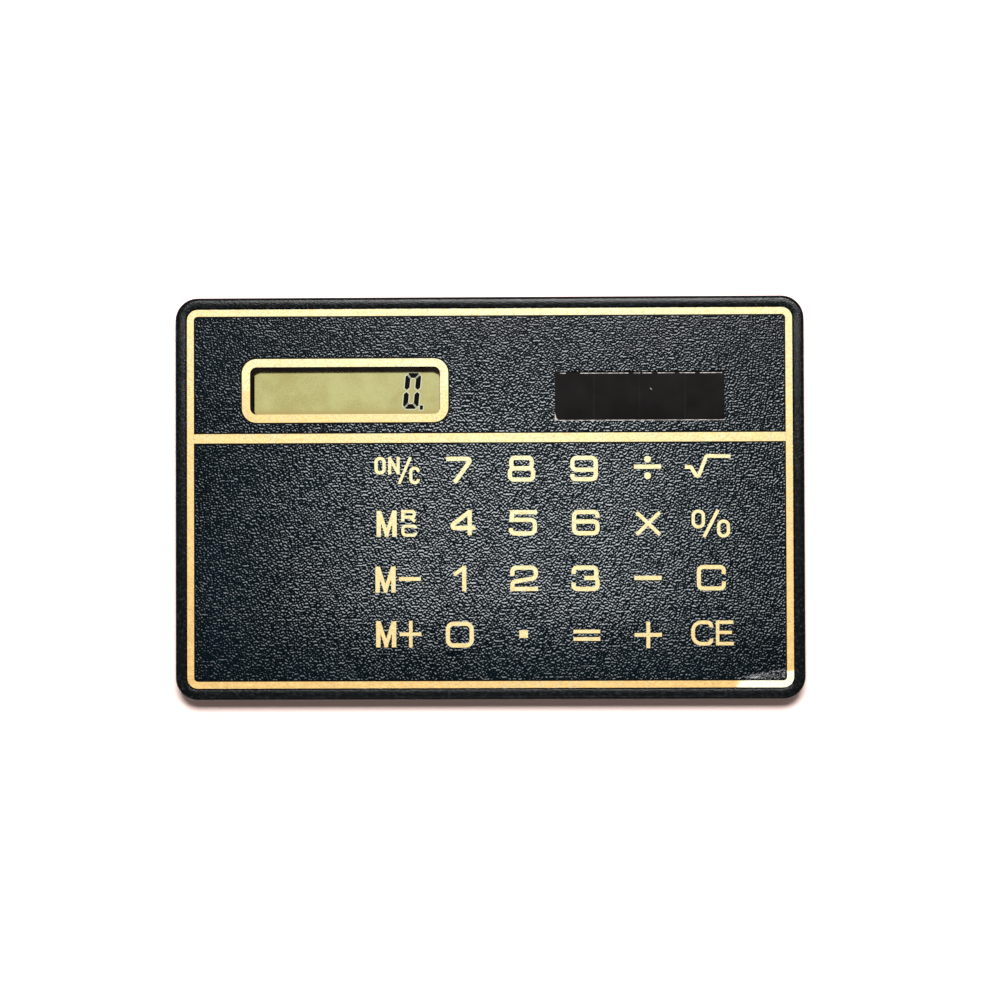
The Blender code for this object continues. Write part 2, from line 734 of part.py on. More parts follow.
def main():
    clear_scene()
    black_plastic = material("black_plastic", (0.012, 0.014, 0.018), 0.45)
    plate_plastic = material("plate_plastic", (0.010, 0.010, 0.012), 0.55)
    leatherette = material("leatherette", (0.014, 0.018, 0.028), 0.5)
    silicone = material("grey_silicone", (0.10, 0.10, 0.11), 0.7)
    pad_silicone = material("pad_silicone", (0.015, 0.018, 0.026), 0.6)
    laminate = material("board_laminate", (0.16, 0.10, 0.04), 0.5)
    epoxy = material("black_epoxy", (0.01, 0.01, 0.01), 0.25)
    steel = material("zinc_steel", (0.62, 0.62, 0.64), 0.3, 1.0)
    ceramic = material("capacitor_body", (0.42, 0.27, 0.14), 0.5)
    resistor = material("resistor_body", (0.02, 0.02, 0.02), 0.4)
    red_lens = material("red_lens", (0.45, 0.03, 0.02), 0.2)
    polariser = material("polariser_film", (0.50, 0.49, 0.25), 0.35)
    glass = material("display_glass", (0.60, 0.66, 0.60), 0.1)
    reflector = material("reflector_film", (0.55, 0.56, 0.45), 0.4, 0.5)
    foam = material("grey_foam", (0.12, 0.12, 0.13), 0.95)
    ribbon = material("ribbon_film", (0.30, 0.22, 0.10), 0.5)
    cell = material("solar_glass", (0.008, 0.006, 0.008), 0.12)
    red_wire = material("red_wire", (0.55, 0.02, 0.02), 0.4)
    black_wire = material("black_wire", (0.01, 0.01, 0.01), 0.4)

    rear_case(black_plastic)
    front_plate(plate_plastic)
    face_sheet(leatherette)
    key_pads(pad_silicone)
    keypad_web(silicone)
    circuit_board(laminate)
    chip_blob(epoxy)
    chip_parts((ceramic, resistor, red_lens))
    underside = display((polariser, glass, glass, reflector, foam))
    lcd_ribbon(ribbon, underside)
    solar_cell(cell, foam)
    solar_lead("solar_lead_black", -1, black_wire)
    solar_lead("solar_lead_red", 1, red_wire)
    screws(steel)


main()
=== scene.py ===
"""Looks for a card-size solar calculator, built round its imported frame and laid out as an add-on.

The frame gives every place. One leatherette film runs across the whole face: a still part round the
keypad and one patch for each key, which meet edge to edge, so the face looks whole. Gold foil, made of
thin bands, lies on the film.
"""

import math

import bmesh
import bpy
import numpy as np
from bpy.props import FloatProperty, FloatVectorProperty, IntProperty, PointerProperty
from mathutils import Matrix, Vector


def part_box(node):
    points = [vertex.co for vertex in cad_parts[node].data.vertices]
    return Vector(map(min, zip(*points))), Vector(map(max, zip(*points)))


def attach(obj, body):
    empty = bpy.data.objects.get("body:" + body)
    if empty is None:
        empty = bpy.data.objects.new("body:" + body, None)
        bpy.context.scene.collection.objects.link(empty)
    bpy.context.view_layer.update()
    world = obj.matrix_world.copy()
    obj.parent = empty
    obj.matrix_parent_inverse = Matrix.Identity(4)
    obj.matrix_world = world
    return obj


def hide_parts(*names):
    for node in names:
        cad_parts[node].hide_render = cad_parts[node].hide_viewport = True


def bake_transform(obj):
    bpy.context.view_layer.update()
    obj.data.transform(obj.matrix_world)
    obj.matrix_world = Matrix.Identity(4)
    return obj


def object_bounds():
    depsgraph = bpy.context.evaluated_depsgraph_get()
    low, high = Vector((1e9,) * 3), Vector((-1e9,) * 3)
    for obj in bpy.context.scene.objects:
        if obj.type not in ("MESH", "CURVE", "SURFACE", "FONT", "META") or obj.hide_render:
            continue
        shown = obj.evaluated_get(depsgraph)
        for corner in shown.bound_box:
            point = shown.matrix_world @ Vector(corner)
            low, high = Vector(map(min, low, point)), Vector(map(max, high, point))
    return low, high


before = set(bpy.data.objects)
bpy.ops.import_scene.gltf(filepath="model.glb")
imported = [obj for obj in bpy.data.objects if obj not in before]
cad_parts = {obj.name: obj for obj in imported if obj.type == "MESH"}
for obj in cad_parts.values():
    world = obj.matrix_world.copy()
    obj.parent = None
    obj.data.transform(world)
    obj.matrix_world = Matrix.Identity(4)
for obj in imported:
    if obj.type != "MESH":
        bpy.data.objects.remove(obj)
CAD_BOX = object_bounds()

bl_info = {
    "name": "Card Calculator",
    "version": (1, 0, 0),
    "blender": (4, 5, 0),
    "location": "3D Viewport > Sidebar > Calculator",
    "description": "Builds a card-size solar calculator on its packed frame",
    "category": "Add Mesh",
}

MM = 0.001
KEY_ROWS = (
    ("on_clear", "7", "8", "9", "divide", "root"),
    ("memory_recall", "4", "5", "6", "multiply", "percent"),
    ("memory_minus", "1", "2", "3", "minus", "clear"),
    ("memory_plus", "0", "point", "equals", "plus", "clear_entry"),
)
SCREWS = ("front_left", "front_right", "back_left", "back_right")


# ---- Places, all read from the frame ----


def middle(node):
    low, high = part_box(node)
    return (low + high) / 2


def extent(node):
    low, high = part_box(node)
    return high - low


SHEET_LOW, SHEET_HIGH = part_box("face_sheet")
SHEET_TOP = SHEET_HIGH.z
SHEET_MIDDLE = (SHEET_LOW + SHEET_HIGH) / 2
CASE_LOW, CASE_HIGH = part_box("rear_case")
KEY_MIDDLES = {name: middle(f"key_{name}") for row in KEY_ROWS for name in row}
PITCH_X = KEY_MIDDLES["8"].x - KEY_MIDDLES["7"].x
PITCH_Y = KEY_MIDDLES["7"].y - KEY_MIDDLES["4"].y
KEYPAD_MIDDLE = (KEY_MIDDLES["on_clear"] + KEY_MIDDLES["clear_entry"]) / 2
KEYPAD_SIZE = (PITCH_X * len(KEY_ROWS[0]), PITCH_Y * len(KEY_ROWS))
BOARD_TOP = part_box("circuit_board")[1].z
CELL_LOW, CELL_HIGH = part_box("solar_cell")
SCREEN_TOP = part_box("lcd_polariser")[1].z


# ---- Settings a user would change ----


def length(name, description, millimetres, least=0.0):
    return FloatProperty(
        name=name, description=description, default=millimetres * MM, min=least, unit="LENGTH", precision=5
    )


def colour(name, description, default):
    return FloatVectorProperty(
        name=name, description=description, default=default, subtype="COLOR", size=3, min=0, max=1
    )


class CalculatorSizes(bpy.types.PropertyGroup):
    case_corner: length("Case Corner", "Radius of the case's corners seen from above", 3.0)
    rim_width: length("Rim Width", "Width of the rim round the face", 1.35)
    rim_round: length("Rim Round", "Radius of the rim's outer top edge", 0.45)
    rim_break: length("Rim Break", "Radius of the rim's inner top edge", 0.05)
    rim_swell: length("Rim Swell", "How far the soft rim stands out past its nominal edge", 0.09)
    edge_tuck: length("Edge Tuck", "How far the lower edge is rounded in", 1.2)
    edge_rise: length("Edge Rise", "How far up the lower edge's rounding reaches", 1.1)
    floor_thickness: length("Floor Thickness", "Thickness of the case's floor", 0.7)
    film_corner: length("Film Corner", "Radius of the face film's corners", 1.5)
    patch_thickness: length("Patch Thickness", "Thickness of the film over a key", 0.1)
    patch_step: length("Patch Step", "Spacing of the points of a key's patch", 0.42, 1e-4)
    flat_margin: length("Flat Margin", "How far inside a key's edge its dimple begins", 0.6)
    key_flange: length("Key Flange", "How far a key's flange stands out round it", 0.5)
    border_line: length("Border Line", "Width of the gold border", 0.93)
    border_corner: length("Border Corner", "Radius of the border's middle line at its corners", 1.0)
    border_inset: length("Border Inset", "Film left bare outside the border", 0.07)
    divider_line: length("Divider Line", "Width of the gold line across the face", 1.26)
    divider_drop: length("Divider Drop", "From the film's top edge to the dividing line's middle", 17.79)
    window_length: length("Window Length", "Length of the display window", 26.1)
    window_height: length("Window Height", "Height of the display window", 6.5)
    window_corner: length("Window Corner", "Radius of the display window's corners", 0.9)
    window_shift: length("Window Shift", "How far the glass is set off the window's middle", 0.26)
    ring_line: length("Ring Line", "Width of the gold ring round the display window", 1.12)
    cell_window_length: length("Cell Window Length", "Length of the solar cell's window", 23.2)
    cell_window_height: length("Cell Window Height", "Height of the solar cell's window", 6.7)
    foil_thickness: length("Foil Thickness", "Thickness of the gold foil", 0.02)
    scorch: length("Scorched Margin", "Width of the dark edge that stamping leaves round the foil", 0.2, 1e-5)
    legend_stroke: length("Legend Stroke", "Stroke of the digits on the keys", 0.58)
    digit_height: length("Digit Height", "Height of a digit on the display", 4.94)
    digit_width: length("Digit Width", "Width of a digit on the display", 2.14)
    digit_stroke: length("Digit Stroke", "Stroke of a digit on the display", 0.68)
    corner_lift: length("Corner Lift", "How far the film's loose corner stands up", 0.26)
    grain_size: length("Grain Size", "Spacing of the leatherette's pebbles", 0.45, 1e-5)
    corner_steps: IntProperty(
        name="Corner Steps", description="Facets in a quarter of a round corner", default=12, min=2, max=48
    )


class CalculatorColours(bpy.types.PropertyGroup):
    case: colour("Case", "Moulded case", (0.0026, 0.0032, 0.0036))
    film: colour("Film", "Leatherette film", (0.0014, 0.0042, 0.0066))
    # Painted highlight: the film's pale colour on its grain's light-facing slopes.
    wear_and_highlight: colour("Film Highlight", "Painted highlight on the leatherette's grain", (0.275, 0.30, 0.315))
    gold: colour("Gold", "Gold foil where it is pale", (0.63, 0.64, 0.44))
    gold_lit: colour("Lit Gold", "Gold foil on the loose corner, which faces the light", (0.70, 0.70, 0.55))
    gold_deep: colour("Deep Gold", "Gold foil where it turns orange", (0.62, 0.46, 0.21))
    screen: colour("Screen", "Display's polariser", (0.252, 0.251, 0.104))
    segment: colour("Segment", "Display's dark segments", (0.0022, 0.0024, 0.0022))
    cell: colour("Cell", "Solar cell", (0.0022, 0.0021, 0.0021))
    pad: colour("Pad", "Silicone key pads", (0.10, 0.10, 0.11))
    board: colour("Board", "Circuit board's laminate", (0.17, 0.10, 0.035))
    floor: colour("Floor", "Table under the calculator", (0.93, 0.755, 0.72))


# ---- Mesh helpers ----


def outline(size, corner, steps, centre=(0, 0)):
    """Points of a rectangle with round corners, anticlockwise from the lower right corner."""
    half_x, half_y = size[0] / 2, size[1] / 2
    radius = min(corner, half_x * 0.98, half_y * 0.98)
    points = []
    for quarter, (sx, sy) in enumerate(((1, -1), (1, 1), (-1, 1), (-1, -1))):
        hub = Vector((sx * (half_x - radius), sy * (half_y - radius))) + Vector(centre)
        for step in range(steps + 1):
            angle = math.radians(90 * (quarter - 1 + step / steps))
            points.append(hub + radius * Vector((math.cos(angle), math.sin(angle))))
    return points


def circle(radius, centre=(0, 0), sides=32):
    turns = [math.tau * side / sides for side in range(sides)]
    return [Vector(centre) + radius * Vector((math.cos(turn), math.sin(turn))) for turn in turns]


def quarter_turn(steps):
    """Pairs (1 - sine, 1 - cosine) for angles that run evenly from 0 to 90 degrees."""
    angles = [math.radians(90 * step / steps) for step in range(steps + 1)]
    return [(1 - math.sin(angle), 1 - math.cos(angle)) for angle in angles]


def signed_area(points):
    """Twice the area inside a loop, positive where it runs anticlockwise."""
    return sum(a.x * b.y - b.x * a.y for a, b in zip(points, points[1:] + points[:1]))


def add_loop(bm, points, height):
    return [bm.verts.new((point[0], point[1], height)) for point in points]


def loft(levels):
    """A closed mesh through loops of equal length. Each level is (points, height)."""
    bm = bmesh.new()
    loops = [add_loop(bm, points, height) for points, height in levels]
    count = len(loops[0])
    for below, above in zip(loops, loops[1:]):
        for i in range(count):
            j = (i + 1) % count
            bm.faces.new((below[i], below[j], above[j], above[i]))
    bm.faces.new(reversed(loops[0]))
    bm.faces.new(loops[-1])
    bmesh.ops.recalc_face_normals(bm, faces=bm.faces)
    return bm


def prism(loop, low, high):
    return loft([(loop, low), (loop, high)])


def plate(border, holes, low, high):
    """A flat plate between two heights, with holes through it."""
    bm = bmesh.new()
    for points in (border, *holes):
        loop = add_loop(bm, points, low)
        for i, vertex in enumerate(loop):
            bm.edges.new((vertex, loop[(i + 1) % len(loop)]))
    filled = bmesh.ops.triangle_fill(bm, use_beauty=True, edges=bm.edges, normal=(0, 0, 1))
    faces = [piece for piece in filled["geom"] if isinstance(piece, bmesh.types.BMFace)]
    raised = bmesh.ops.extrude_face_region(bm, geom=faces, use_keep_orig=True)
    vertices = [piece for piece in raised["geom"] if isinstance(piece, bmesh.types.BMVert)]
    bmesh.ops.translate(bm, vec=(0, 0, high - low), verts=vertices)
    bmesh.ops.recalc_face_normals(bm, faces=bm.faces)
    return bm


def turned(profile, centre=(0, 0), sides=32):
    """A solid turned about an upright axis from (radius, height) points that run upwards."""
    return loft([(circle(radius, centre, sides), height) for radius, height in profile])


def merged(pieces):
    """Several closed shells in one mesh."""
    whole = bmesh.new()
    for piece in pieces:
        held = bpy.data.meshes.new("held")
        piece.to_mesh(held)
        piece.free()
        whole.from_mesh(held)
        bpy.data.meshes.remove(held)
    return whole


def cut_grid(bm, low, high, step):
    """Cuts a mesh along a square grid inside a rectangle's bands, so that it can bend there."""
    for axis in (0, 1):
        direction = Vector((axis == 0, axis == 1, 0))
        for place in np.arange(low[axis], high[axis], step):
            everything = bm.verts[:] + bm.edges[:] + bm.faces[:]
            plane = {"plane_co": direction * place, "plane_no": direction}
            bmesh.ops.bisect_plane(bm, geom=everything, dist=1e-7, **plane)


def add_piece(name, bm, look, smooth_degrees=None):
    mesh = bpy.data.meshes.new(name)
    bm.to_mesh(mesh)
    bm.free()
    mesh.materials.append(look)
    piece = bpy.data.objects.new(name, mesh)
    bpy.context.scene.collection.objects.link(piece)
    if smooth_degrees:
        set_smooth(piece, smooth_degrees)
    return piece


def settled(piece):
    """Turns the piece's modifiers into plain mesh."""
    bpy.context.view_layer.update()
    graph = bpy.context.evaluated_depsgraph_get()
    mesh = bpy.data.meshes.new_from_object(piece.evaluated_get(graph))
    piece.modifiers.clear()
    piece.data = mesh
    return piece


def with_booleans(piece, steps):
    """Joins or cuts away closed meshes. Each step is ("UNION" or "DIFFERENCE", bmesh)."""
    helpers = []
    for operation, bm in steps:
        helper = add_piece(f"{piece.name}_helper", bm, piece.data.materials[0])
        modifier = piece.modifiers.new(operation.title(), "BOOLEAN")
        modifier.operation = operation
        modifier.solver = "EXACT"
        modifier.object = helper
        helpers.append(helper)
    settled(piece)
    for helper in helpers:
        bpy.data.objects.remove(helper, do_unlink=True)
    return piece


def set_smooth(piece, degrees):
    piece.data.shade_smooth()
    piece.data.set_sharp_from_angle(angle=math.radians(degrees))


# ---- Geometry Nodes helpers ----


def new_tree(name, inputs):
    """A geometry tree with a Geometry output and named inputs: each gives its default number or socket kind."""
    tree = bpy.data.node_groups.new(name, "GeometryNodeTree")
    for label, given in inputs.items():
        kind = {int: "Int", float: "Float"}.get(type(given), given)
        socket = tree.interface.new_socket(label, in_out="INPUT", socket_type=f"NodeSocket{kind}")
        if kind != given:
            socket.default_value = given
    tree.interface.new_socket("Geometry", in_out="OUTPUT", socket_type="NodeSocketGeometry")
    return tree, tree.nodes.new("NodeGroupInput"), tree.nodes.new("NodeGroupOutput")


def add_node(tree, kind, settings=None, **values):
    node = tree.nodes.new(kind)
    for key, value in (settings or {}).items():
        setattr(node, key, value)
    for label, value in values.items():
        node.inputs[label.replace("_", " ")].default_value = value
    return node


def wire(tree, *links):
    """Links sockets in order. Each link is (node, its output, node, its input)."""
    for source, output, target, entry in links:
        tree.links.new(source.outputs[output], target.inputs[entry])


def finish_tree(tree, last, given, result):
    realised = tree.nodes.new("GeometryNodeRealizeInstances")
    painted = tree.nodes.new("GeometryNodeSetMaterial")
    wire(
        tree,
        (last, "Geometry", realised, "Geometry"),
        (realised, "Geometry", painted, "Geometry"),
        (given, "Material", painted, "Material"),
        (painted, "Geometry", result, "Geometry"),
    )
    return tree


def grown(name, tree, values):
    """A plain mesh piece made by a geometry tree with these input values."""
    mesh = bpy.data.meshes.new(name)
    piece = bpy.data.objects.new(name, mesh)
    modifier = piece.modifiers.new(tree.name, "NODES")
    modifier.node_group = tree
    for item in tree.interface.items_tree:
        if item.in_out == "INPUT" and item.name in values:
            modifier[item.identifier] = values[item.name]
    bpy.context.scene.collection.objects.link(piece)
    return settled(piece)


# ---- Material helpers ----


def toned(colour, *shares):
    """A colour with its channels scaled, by one share or by one for each."""
    if len(shares) == 1:
        shares *= 3
    return tuple(channel * share for channel, share in zip(colour, shares))


class Shader:
    """A small builder for one Principled material."""

    def __init__(self, name, base, roughness, metallic=0.0, **more):
        self.material = bpy.data.materials.new(name)
        self.material.use_nodes = True
        self.material.diffuse_color = (*base, 1.0)
        self.tree = self.material.node_tree
        self.principled = self.tree.nodes["Principled BSDF"]
        self.set("Base Color", (*base, 1.0))
        self.set("Roughness", roughness)
        self.set("Metallic", metallic)
        for label, value in more.items():
            self.set(label.replace("_", " "), value)
        self.place = self.tree.nodes.new("ShaderNodeTexCoord").outputs["Object"]

    def set(self, label, value):
        self.principled.inputs[label].default_value = value

    def link(self, source, target):
        self.tree.links.new(source, target)

    def node(self, kind, settings=None, **values):
        return add_node(self.tree, kind, settings, **values)

    def scaled_place(self, *scale):
        mapping = self.node("ShaderNodeMapping", Scale=scale)
        self.link(self.place, mapping.inputs["Vector"])
        return mapping.outputs["Vector"]

    def flat_place(self):
        """Object coordinates with the height left out, so a pattern stays put when a key moves."""
        return self.scaled_place(1, 1, 0)

    def axes(self):
        """Object coordinates, one output for each axis."""
        node = self.node("ShaderNodeSeparateXYZ")
        self.link(self.place, node.inputs["Vector"])
        return node.outputs

    def attribute(self, name):
        return self.node("ShaderNodeAttribute", {"attribute_name": name}).outputs["Fac"]

    def vector_math(self, operation, *sources, **values):
        node = self.node("ShaderNodeVectorMath", {"operation": operation}, **values)
        for socket, value in zip(node.inputs, sources):
            if isinstance(value, bpy.types.NodeSocket):
                self.link(value, socket)
            else:
                socket.default_value = value
        return node.outputs["Vector"]

    def noise(self, size, detail=2.0, roughness=0.5, place=None):
        node = self.node("ShaderNodeTexNoise", Scale=1 / size, Detail=detail, Roughness=roughness)
        self.link(place or self.place, node.inputs["Vector"])
        return node.outputs["Fac"]

    def ranged(self, source, low, high, to_low=0.0, to_high=1.0, smooth=True):
        node = self.node("ShaderNodeMapRange", {"interpolation_type": "SMOOTHSTEP" if smooth else "LINEAR"})
        for label, value in (("From Min", low), ("From Max", high), ("To Min", to_low), ("To Max", to_high)):
            node.inputs[label].default_value = value
        self.link(source, node.inputs["Value"])
        return node.outputs["Result"]

    def math(self, operation, a, b):
        node = self.node("ShaderNodeMath", {"operation": operation})
        for socket, value in zip(node.inputs, (a, b)):
            if isinstance(value, (int, float)):
                socket.default_value = value
            else:
                self.link(value, socket)
        return node.outputs["Value"]

    def mixed(self, share, a, b):
        node = self.node("ShaderNodeMix", {"data_type": "RGBA"})
        self.link(share, node.inputs["Factor"])
        for socket, value in ((node.inputs[6], a), (node.inputs[7], b)):
            if isinstance(value, bpy.types.NodeSocket):
                self.link(value, socket)
            else:
                socket.default_value = (*value[:3], 1.0)
        return node.outputs[2]

    def bump(self, height, distance, strength=1.0, under=None):
        node = self.node("ShaderNodeBump", Distance=distance, Strength=strength)
        self.link(height, node.inputs["Height"])
        if under is not None:
            self.link(under, node.inputs["Normal"])
        return node.outputs["Normal"]

    def use(self, label, source):
        self.link(source, self.principled.inputs[label])


def grain_height(shader, size, place=None):
    """The leatherette's pressed grain: short, wavy wrinkles."""
    return shader.noise(size * 0.55, 0.0, 0.4, place or shader.flat_place())


def grain_highlight_strokes(shader, size):
    """Painted highlights on the wrinkles' slopes that face the light: short pale strokes that fan out from the
    middle of the far edge.
    """
    fan_middle = (0, 75 * MM, 0)
    place = shader.flat_place()
    facing = shader.vector_math("NORMALIZE", shader.vector_math("SUBTRACT", fan_middle, place))

    def shifted_grain(reach):
        step = shader.vector_math("SCALE", facing, Scale=reach)
        return grain_height(shader, size, shader.vector_math("ADD", place, step))

    return shader.math("SUBTRACT", shifted_grain(-size * 0.2), shifted_grain(size * 0.2))


def highlight_share(shader):
    """How strong the painted highlight on the grain is: most over the keypad, least at the near and left edges.
    """
    x, y, _ = shader.axes()
    aside = shader.math(
        "MULTIPLY",
        shader.ranged(x, -40 * MM, -12 * MM, 0.16, 1.0, smooth=False),
        shader.ranged(x, 14 * MM, 40 * MM, 1.0, 0.6),
    )
    along = shader.math(
        "MULTIPLY",
        shader.ranged(y, 4 * MM, 26 * MM, 1.0, 0.30, smooth=False),
        shader.ranged(y, -25 * MM, -13 * MM, 0.3, 1.0),
    )
    return shader.math("MULTIPLY", aside, along)


# ---- Materials ----


def leatherette(colours, sizes):
    """Navy-black film with a pressed grain, with painted highlights on the wrinkles' light-facing slopes and on
    the ridges beside the loose corner's crease.
    """
    shader = Shader("pressed_leatherette", colours.film, 0.3, Specular_IOR_Level=0.07)
    broad = shader.noise(9 * MM, 3.0)
    deep = toned(colours.film, 0.7)
    film = shader.mixed(shader.ranged(broad, 0.35, 0.65), deep, colours.film)
    # Painted highlight: pale strokes on the grain's light-facing slopes, strongest over the keypad.
    share = highlight_share(shader)
    lowered = shader.ranged(share, 0.0, 1.0, -0.11, 0.0, smooth=False)
    slope = shader.math("ADD", grain_highlight_strokes(shader, sizes.grain_size), lowered)
    strokes = shader.ranged(slope, 0.05, 0.27)
    wear_and_highlight = shader.math("MULTIPLY", strokes, shader.ranged(share, 0.0, 1.0, 0.2, 1.0, smooth=False))
    # Painted highlight on the ridges beside the loose corner's crease.
    crease = shader.attribute("crease")
    flecks = shader.ranged(shader.noise(0.3 * MM, 1.0, 0.5), 0.42, 0.56)
    broken = shader.ranged(flecks, 0.0, 1.0, 0.35, 1.1)
    crease_highlight = shader.math("MULTIPLY", shader.ranged(crease, 0.6, 0.95), broken)
    wear_and_highlight = shader.math("MAXIMUM", wear_and_highlight, crease_highlight)
    shader.use("Base Color", shader.mixed(wear_and_highlight, film, colours.wear_and_highlight))
    shader.use("Roughness", shader.ranged(strokes, 0.0, 1.0, 0.14, 0.25))
    shader.use("Normal", shader.bump(grain_height(shader, sizes.grain_size), 0.03 * MM, 1.0))
    return shader.material


def gold_foil(colours, sizes):
    """Matt stamped foil, pitted where it has wear: cream at the far middle and orange towards the near left, a
    painted light falloff mixed with random patches.
    """
    shader = Shader("stamped_gold", colours.gold, 0.75, 1.0)
    height = grain_height(shader, sizes.grain_size)
    x, y, _ = shader.axes()
    # Painted light: the foil is paler towards the far edge and towards a line a little right of the middle,
    # where the light falls most.
    aside = shader.math("ABSOLUTE", shader.math("SUBTRACT", x, 6 * MM), 0)
    across = shader.math("MULTIPLY", aside, -12.5)
    along = shader.math("MULTIPLY", y, 22.0)
    patches = shader.ranged(shader.noise(0.9 * MM, 5.0, 0.75), 0.3, 0.7, 0.0, 1.0)
    # Tone stored on each point: painted light on the loose corner and on the ring's far half, and a steady
    # paler tone on the legends.
    shift = shader.attribute("foil_tone")
    tone = shader.math("ADD", shader.math("ADD", across, along), shader.math("ADD", patches, shift))
    gold = shader.mixed(
        shader.ranged(tone, -0.25, 0.95, smooth=False), colours.gold_deep, colours.gold
    )
    flecks = shader.ranged(shader.noise(0.32 * MM, 3.0, 0.7), 0.44, 0.64, 0.0, 0.45)
    orange = toned(colours.gold_deep, 0.88, 0.74, 0.5)
    lit = shader.ranged(shift, 0.8, 2.0)
    gold = shader.mixed(flecks, gold, orange)
    gold = shader.mixed(lit, gold, colours.gold_lit)
    pits = shader.ranged(shader.noise(0.22 * MM, 2.0, 0.7), 0.58, 0.72, 0.0, 0.5)
    wear_and_highlight = toned(colours.gold_deep, 0.5)
    shader.use("Base Color", shader.mixed(pits, gold, wear_and_highlight))
    shader.use("Roughness", shader.ranged(patches, 0.3, 0.7, 0.72, 0.78))
    shader.use("Normal", shader.bump(height, 0.03 * MM, 1.0))
    return shader.material


def scorched_film(colours):
    """The narrow dark edge that the hot stamp leaves in the film round the foil."""
    dark, brown = toned(colours.film, 0.5), (0.006, 0.0035, 0.002)
    shader = Shader("scorched_film", dark, 0.14, Specular_IOR_Level=0.12)
    share = shader.ranged(shader.noise(0.5 * MM, 2.0), 0.4, 0.6, 0.2, 1.0)
    shader.use("Base Color", shader.mixed(share, dark, brown))
    return shader.material


def glint_fray_and_dust():
    """Pale painted glints on the solar cell, a speck of dust on it, and pale fibres and dust where the film was
    cut for the cell.
    """
    shader = Shader("glint_fray_and_dust", (0.34, 0.31, 0.28), 0.5)
    share = shader.ranged(shader.noise(0.7 * MM, 2.0, 0.7), 0.42, 0.58)
    shader.use("Base Color", shader.mixed(share, (0.09, 0.085, 0.08), (0.38, 0.34, 0.31)))
    return shader.material


def set_tone(piece, tone):
    """Stores how much paler than the rest each point of a piece of foil is."""
    attribute = piece.data.attributes.new("foil_tone", "FLOAT", "POINT")
    attribute.data.foreach_set("value", [tone(vertex.co) for vertex in piece.data.vertices])


def moulded_plastic(colours):
    """Black moulded plastic with a fine spark texture and a few rubbed, paler specks."""
    shader = Shader("moulded_plastic", colours.case, 0.24, Specular_IOR_Level=0.085)
    spark = shader.noise(0.22 * MM, 3.0, 0.6)
    broad = shader.noise(6 * MM, 3.0, 0.6)
    rubbed = shader.ranged(shader.noise(0.45 * MM, 4.0, 0.75), 0.50, 0.66)
    pale = toned(colours.case, 6.0)
    shader.use("Base Color", shader.mixed(rubbed, colours.case, pale))
    shader.use("Roughness", shader.ranged(broad, 0.3, 0.7, 0.14, 0.19))
    shader.use("Normal", shader.bump(spark, 0.03 * MM, 0.8))
    return shader.material


def plain_plastic(name, base, roughness, shine=0.5):
    """Smooth moulded plastic with slight tool marks."""
    shader = Shader(name, base, roughness, Specular_IOR_Level=shine)
    shader.use("Normal", shader.bump(shader.noise(0.4 * MM, 2.0), 0.01 * MM, 0.5))
    shader.use("Roughness", shader.ranged(shader.noise(4 * MM), 0.3, 0.7, roughness * 0.85, roughness * 1.15))
    return shader.material


def polariser_film(colours):
    """Anti-glare film over the display: olive-grey with a very fine sparkle and faint streaks."""
    shader = Shader("olive_polariser", colours.screen, 0.2, Specular_IOR_Level=0.2)
    sparkle = shader.noise(0.14 * MM, 2.0)
    drift = shader.noise(4 * MM, 3.0, 0.6)
    share = shader.math("ADD", shader.math("MULTIPLY", sparkle, 0.5), shader.math("MULTIPLY", drift, 0.5))
    warm = toned(colours.screen, 0.94, 0.84, 0.72)
    light = toned(colours.screen, 1.18)
    film = shader.mixed(shader.ranged(share, 0.36, 0.62), warm, light)
    low = middle("lcd_polariser").y - 3.0 * MM
    ragged = shader.math("ADD", shader.axes()["Y"], shader.math("MULTIPLY", drift, 0.6 * MM))
    rim = shader.ranged(ragged, low, low + 0.9 * MM, 0.75, 0.0)
    glow = toned(colours.screen, 1.08, 0.86, 0.72)
    shader.use("Base Color", shader.mixed(rim, film, glow))
    shader.use("Normal", shader.bump(sparkle, 0.004 * MM, 0.5))
    return shader.material


def segment_ink(colours):
    """Switched-on crystal: flat and nearly black, a touch paler in places."""
    shader = Shader("segment_ink", colours.segment, 0.12, Specular_IOR_Level=0.08)
    pale = toned(colours.segment, 1.4)
    share = shader.ranged(shader.noise(0.5 * MM), 0.4, 0.7)
    shader.use("Base Color", shader.mixed(share, colours.segment, pale))
    return shader.material


def segment_halo(colours):
    """The pale edge that the display's glass throws round a segment."""
    pale = toned(colours.screen, 1.5, 1.55, 2.8)
    shader = Shader("segment_halo", pale, 0.2, Specular_IOR_Level=0.2)
    share = shader.ranged(shader.noise(0.3 * MM), 0.3, 0.7)
    shader.use("Base Color", shader.mixed(share, pale, toned(pale, 0.93)))
    return shader.material


def solar_glass(colours):
    """Amorphous silicon behind matt glass: brown-black with slow, faint changes of tint."""
    shader = Shader("amorphous_cell", colours.cell, 0.2, Specular_IOR_Level=0.29)
    warm = toned(colours.cell, 1.2, 0.97, 0.95)
    share = shader.ranged(shader.noise(3 * MM, 2.0), 0.35, 0.65)
    shader.use("Base Color", shader.mixed(share, colours.cell, warm))
    shader.use("Roughness", shader.ranged(shader.noise(4 * MM, 2.0), 0.3, 0.7, 0.11, 0.125))
    return shader.material


def plain_metal(name, base, roughness):
    """Plated metal with fine random brushing."""
    shader = Shader(name, base, roughness, 1.0)
    brushed = shader.noise(0.3 * MM, 3.0, 0.6, shader.scaled_place(1, 8, 1))
    shader.use("Roughness", shader.ranged(brushed, 0.3, 0.7, roughness * 0.7, roughness * 1.3))
    return shader.material


